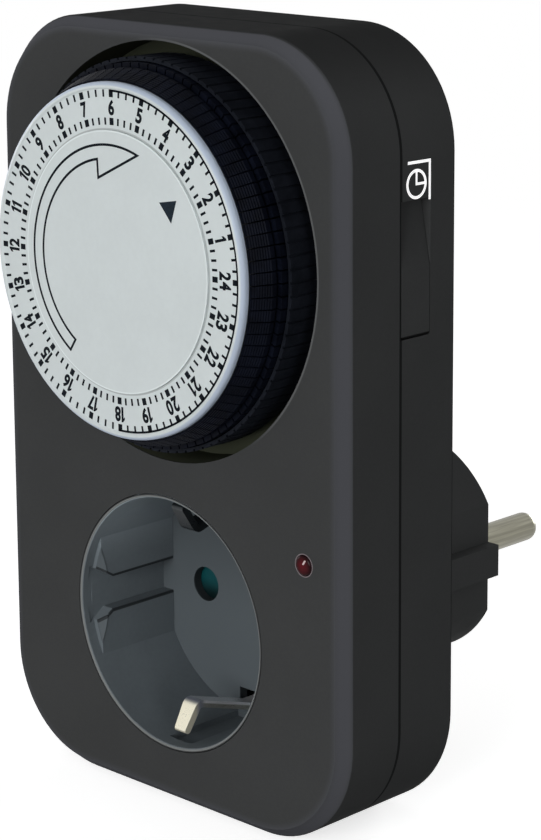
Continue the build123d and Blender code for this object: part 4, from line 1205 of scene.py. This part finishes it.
@dataclass
class Housing:
    """The dark two-part housing with its rocker, the mark above it and the indicator, in mm."""

    colour: RGB = (0.0490, 0.0506, 0.0512)
    plug_gain: float = 1.4
    front_y: float = -56.5
    side_x: float = 36.5
    lens_middle: Triple = (28.8, -56.8, 14.5)
    lens_radius: float = 1.6
    ring_radius: float = 1.68
    ring_wire: float = 0.08
    ring_flatness: float = 0.5
    ring_steps: tuple[int, int] = (64, 12)
    mark_thickness: float = 0.015
    mark_line: float = 0.43
    mark_top: tuple[Pair, ...] = ((-43.0, 72.15), (-38.3, 72.1), (-38.3, 66.45))
    clock_middle: Pair = (-41.14, 68.99)
    clock_radius: float = 1.95
    clock_steps: int = 48
    hand_share: float = 0.85

    def dress(self) -> None:
        """Finishes the shells, the plug's shell, the rocker, the lens and the screws."""
        shell = HousingPlastic(self.colour, roughness=0.7, specular=0.002, grain_mm=0.28,
                               grain_depth_mm=0.014, clouds=0.05, cloud_mm=18.0)
        dress(shell.make("housing_dark"), "front_shell", "rear_shell")
        plug = MouldedPlastic(scaled(self.colour, self.plug_gain), roughness=0.66, specular=0.01,
                              grain_mm=0.28, grain_depth_mm=0.012, clouds=0.05, cloud_mm=18.0)
        dress(plug.make("plug_dark"), "plug_shell")
        # painted shade on the rocker's lower edge, where its gap is shaded
        rocker = LowDarkPlastic(self.colour, roughness=0.65, specular=0.01, grain_mm=0.28,
                                grain_depth_mm=0.01, clouds=0.05, cloud_mm=8.0, dark_to=47.12,
                                plain_from=47.23, dark_gain=0.1)
        dress(rocker.make("rocker_dark"), "rocker")
        lens = TintedLens(colour=(0.085, 0.002, 0.006), deep=(0.009, 0.001, 0.002),
                          middle_mm=self.lens_middle, radius_mm=self.lens_radius)
        dress(lens.make("lens_red"), "indicator_lens")
        zinc = WorkedMetal((0.56, 0.56, 0.55), roughness=0.34)
        dress(zinc.make("screw_zinc"), "housing_screws", "inner_screws", "dial_screw")

    def indicator_ring(self) -> None:
        """A thin ring around the lens: a ring radius plus an oval section of cos and a flattened sin."""
        stations, sides = self.ring_steps
        around = np.linspace(0, 2 * math.pi, stations, endpoint=False)[:, None]
        section = np.linspace(0, 2 * math.pi, sides, endpoint=False)[None, :]
        reach = self.ring_radius + self.ring_wire * np.cos(section)
        depth = self.front_y + self.ring_flatness * self.ring_wire * np.sin(section) + 0 * around
        rails = np.stack((self.lens_middle[0] + reach * np.cos(around), depth,
                          self.lens_middle[2] + reach * np.sin(around)), -1) * MM
        shape = Shape()
        shape.tube(rails, closed=True)
        grey = MouldedPlastic((0.17, 0.14, 0.15), roughness=0.4, specular=0.3, grain_mm=0.3,
                              grain_depth_mm=0.004, clouds=0.05, cloud_mm=2.0)
        shape.piece("indicator_ring", grey.make("ring_grey"), Carrier.HOUSING, "indicator_lens", smooth=True)

    def side_mark(self) -> None:
        """A clock face under an angled line, printed above the rocker."""
        side = PrintSurface((self.side_x, 0, 0), (0, 1, 0), (0, 0, 1), (1, 0, 0), self.mark_thickness)
        shape = Shape()
        side.stroke(shape, np.array(self.mark_top), self.mark_line)
        last = 360 - 360 / self.clock_steps
        clock = arc(self.clock_middle, self.clock_radius, 0, last, self.clock_steps)
        side.stroke(shape, clock, self.mark_line, closed=True)
        hands = np.array(((0.0, 1.0), (0.0, 0.0), (1.0, 0.0))) * self.clock_radius
        side.stroke(shape, np.array(self.clock_middle) + hands, self.hand_share * self.mark_line)
        # the white print glows: painted light, as print gives none of its own
        white = Ink((0.95, 0.95, 0.95), glow=0.6)
        shape.piece("rocker_mark", white.make("print_white"), Carrier.HOUSING, "rear_shell")

    def build(self) -> None:
        """Finishes the pieces and adds the ring and the mark."""
        self.dress()
        self.indicator_ring()
        self.side_mark()


@dataclass
class SocketInsert:
    """The recessed socket with its shutter and earth clips."""

    cup: Finish = SocketPlastic((0.128, 0.149, 0.163), roughness=0.5, specular=0.1, grain_mm=0.4,
                                grain_depth_mm=0.006, clouds=0.06, cloud_mm=12.0)
    # painted shade over the shutter's lower part, seen through the holes
    shutter: Finish = LowDarkPlastic((0.003, 0.052, 0.058), roughness=0.36, specular=0.3, grain_mm=0.3,
                                     grain_depth_mm=0.004, clouds=0.1, cloud_mm=4.0, dark_to=-3.4,
                                     plain_from=-0.28, dark_gain=0.12)
    clips: Finish = ClipMetal((0.62, 0.61, 0.55), roughness=0.32, metallic=0.55)

    def build(self) -> None:
        """Finishes the cup, the shutter behind its holes and the earth clips."""
        dress(self.cup.make("socket_grey"), "socket_cup")
        dress(self.shutter.make("shutter_teal"), "socket_shutter")
        dress(self.clips.make("clip_nickel"), "earth_clips")


@dataclass
class Plug:
    """The two solid pins, in dull streaked nickel, and the earth strip on the plug's sides."""

    pins: Finish = WorkedMetal((0.225, 0.218, 0.172), roughness=0.34, streak_mm=0.55, tarnish_share=0.05,
                               streak_share=0.16)
    strip: Finish = WorkedMetal((0.62, 0.61, 0.55), roughness=0.42, metallic=0.5, tarnish_share=0.0)

    def build(self) -> None:
        """Finishes the pins and the strip."""
        dress(self.pins.make("pin_nickel"), "plug_pins")
        dress(self.strip.make("strip_nickel"), "plug_earth")


@dataclass
class Works:
    """The parts inside the housing: contacts, motor, gears, springs, switch and lamp."""

    brass: Finish = WorkedMetal((0.70, 0.52, 0.28), roughness=0.3)
    steel: Finish = WorkedMetal((0.56, 0.565, 0.57), roughness=0.32)
    wire: Finish = WorkedMetal((0.5, 0.5, 0.51), roughness=0.25, streak_mm=0.06, streak_axis=0)
    magnet: Finish = WorkedMetal((0.2, 0.2, 0.21), roughness=0.45, streak_mm=0.3, streak_axis=2)
    enamel: Finish = MouldedPlastic((0.42, 0.16, 0.06), roughness=0.25, grain_mm=0.25, grain_depth_mm=0.03,
                                    clouds=0.15, cloud_mm=1.0)
    base: Finish = MouldedPlastic((0.09, 0.09, 0.09))
    white: Finish = MouldedPlastic((0.7, 0.69, 0.64), roughness=0.4)
    glass: Finish = MouldedPlastic((0.62, 0.5, 0.42), roughness=0.12, specular=0.6, grain_mm=1.0,
                                   grain_depth_mm=0.004)

    def build(self) -> None:
        """Finishes the metals, then the plastics and the glass."""
        dress(self.brass.make("contact_brass"), "socket_contacts", "neutral_bar", "live_bar_in",
              "live_bar_out", "fixed_contact", "moving_blade", "motor_pinion")
        dress(self.steel.make("steel_zinc"), "motor_can", "gear_bridge", "idler_axle", "dial_axle")
        dress(self.wire.make("spring_wire"), "lever_spring", "shutter_spring")
        dress(self.magnet.make("rotor_magnet"), "motor_rotor")
        dress(self.enamel.make("coil_enamel"), "motor_coil")
        dress(self.base.make("base_dark"), "switch_base")
        dress(self.white.make("gear_white"), "idler_gear", "sensing_lever")
        dress(self.glass.make("lamp_glass"), "neon_lamp")


@dataclass
class Viewpoint:
    """The camera, by its place and its yaw, pitch and roll in degrees."""

    place_mm: Triple = (281.886, -320.787, 131.612)
    yaw: float = 44.464
    pitch: float = -11.186
    roll: float = -0.375
    focal_px: float = 2658.6
    image: tuple[int, int] = (541, 840)
    middle_row: float = 260.0
    sensor_mm: float = 36.0
    clip_m: Pair = (0.01, 20.0)

    def build(self) -> None:
        """Makes the camera: its axes are the yawed and pitched ones, turned by the roll."""
        yaw, pitch, roll = (math.radians(angle) for angle in (self.yaw, self.pitch, self.roll))
        ahead = Vector((-math.sin(yaw) * math.cos(pitch), math.cos(yaw) * math.cos(pitch), math.sin(pitch)))
        level = Vector((math.cos(yaw), math.sin(yaw), 0.0))
        over = level.cross(ahead)
        right = level * math.cos(roll) + over * math.sin(roll)
        up = over * math.cos(roll) - level * math.sin(roll)
        data = bpy.data.cameras.new("camera")
        tall = max(self.image)
        data.sensor_width = self.sensor_mm
        data.lens = self.focal_px / tall * self.sensor_mm
        data.shift_y = (self.middle_row - self.image[1] / 2) / tall
        data.clip_start, data.clip_end = self.clip_m
        camera = bpy.data.objects.new("camera", data)
        turned = Matrix((right, up, -ahead)).transposed().to_4x4()
        camera.matrix_world = Matrix.Translation(Vector(self.place_mm) * MM) @ turned
        bpy.context.scene.collection.objects.link(camera)
        bpy.context.scene.camera = camera


@dataclass(frozen=True)
class Softbox:
    """A white square lamp that faces the object, by its direction in degrees and distance in metres."""

    name: str
    azimuth: float
    elevation: float
    distance: float
    side: float
    level: float

    def build(self, target: Vector) -> None:
        """Makes the lamp. Its power is the level, the distance squared and pi squared multiplied.

        Args:
            target: the point that it faces.
        """
        azimuth, elevation = math.radians(self.azimuth), math.radians(self.elevation)
        back = Vector((math.sin(azimuth) * math.cos(elevation), -math.cos(azimuth) * math.cos(elevation),
                       math.sin(elevation)))
        data = bpy.data.lights.new(self.name, "AREA")
        data.shape, data.size = "SQUARE", self.side
        data.energy = self.level * math.pi**2 * self.distance**2
        lamp = bpy.data.objects.new(self.name, data)
        lamp.location = target + back * self.distance
        lamp.rotation_mode = "QUATERNION"
        lamp.rotation_quaternion = (-back).to_track_quat("-Z", "Y")
        bpy.context.scene.collection.objects.link(lamp)


@dataclass
class Studio:
    """A pale floor, a white surround and soft lamps at a plain level."""

    floor_z: float = -29.75
    floor_half: float = 4.0
    floor_light: float = 0.7
    floor_pale: float = 0.9
    floor_dull: float = 0.45
    fade: Pair = (0.12, 0.5)
    ambient: float = 0.18
    target: Triple = (0.0, -0.04, 0.03)
    lamps: tuple[Softbox, ...] = (
        Softbox("key", azimuth=13.0, elevation=7.0, distance=1.6, side=1.0, level=0.93),
        Softbox("edge", azimuth=68.0, elevation=5.0, distance=1.6, side=0.6, level=0.16),
        Softbox("back", azimuth=185.0, elevation=2.0, distance=1.8, side=1.0, level=1.1),
        Softbox("left", azimuth=270.0, elevation=3.0, distance=1.8, side=1.0, level=0.4),
    )

    def shader(self, graph: Graph, kind: str, grey: float = 1.0, **inputs: float) -> bpy.types.Node:
        """Adds a shader of one grey.

        Args:
            graph: the tree to add to.
            kind: what its type name ends in.
            grey: its grey.
            inputs: its other sockets.

        Returns:
            The shader.
        """
        return graph.node("ShaderNode" + kind, {}, {"Color": (grey, grey, grey, 1.0), **inputs})

    def shown(self, graph: Graph) -> Signal:
        """1 for rays that show the surround itself: seen, mirrored or through glass.

        Args:
            graph: the tree to add to.

        Returns:
            The mask.
        """
        path = graph.node("ShaderNodeLightPath")
        seen = graph.signal(path, "Is Camera Ray") + graph.signal(path, "Is Glossy Ray")
        return (seen + graph.signal(path, "Is Transmission Ray")).at_most(1.0)

    def floor(self) -> None:
        """A floor that shows white, keeps the object's shadow near it and throws little light back."""
        material = bpy.data.materials.new("floor_pale")
        graph = Graph(material)
        pale = self.shader(graph, "BsdfDiffuse", self.floor_pale)
        glow = self.shader(graph, "Emission", Strength=self.floor_light)
        near = graph.node("ShaderNodeAddShader", {}, {0: pale.outputs[0], 1: glow.outputs[0]})
        white = self.shader(graph, "Emission", Strength=1.0)
        seen = graph.choose(graph.span(graph.away(), *self.fade), near, white)
        dull = self.shader(graph, "BsdfDiffuse", self.floor_dull)
        graph.surface(graph.choose(self.shown(graph), dull, seen))
        mesh = bpy.data.meshes.new("floor")
        corners = np.array(((-1, -1, 0), (1, -1, 0), (1, 1, 0), (-1, 1, 0))) * self.floor_half
        mesh.from_pydata((corners + (0, 0, self.floor_z * MM)).tolist(), [], [[0, 1, 2, 3]])
        mesh.materials.append(material)
        ground = bpy.data.objects.new("floor", mesh)
        bpy.context.scene.collection.objects.link(ground)

    def surround(self) -> None:
        """White where it is seen, and a dim even light on the object."""
        world = bpy.data.worlds.new("surround")
        bpy.context.scene.world = world
        graph = Graph(world)
        dim = self.shader(graph, "Background", Strength=self.ambient)
        white = self.shader(graph, "Background", Strength=1.0)
        graph.surface(graph.choose(self.shown(graph), dim, white), "ShaderNodeOutputWorld")

    def build(self) -> None:
        """Makes the floor, the surround and the lamps."""
        self.floor()
        self.surround()
        for lamp in self.lamps:
            lamp.build(Vector(self.target))
        bpy.context.scene.view_settings.view_transform = "Standard"


def main() -> None:
    """Builds the camera and the studio, then each sub-assembly."""
    logging.basicConfig(level=logging.INFO, format="%(message)s")
    for part in (Viewpoint(), Studio(), Housing(), SocketInsert(), Plug(), Dial(), Works()):
        part.build()
        log.info("built %s", type(part).__name__)


if __name__ == "__main__":
    main()
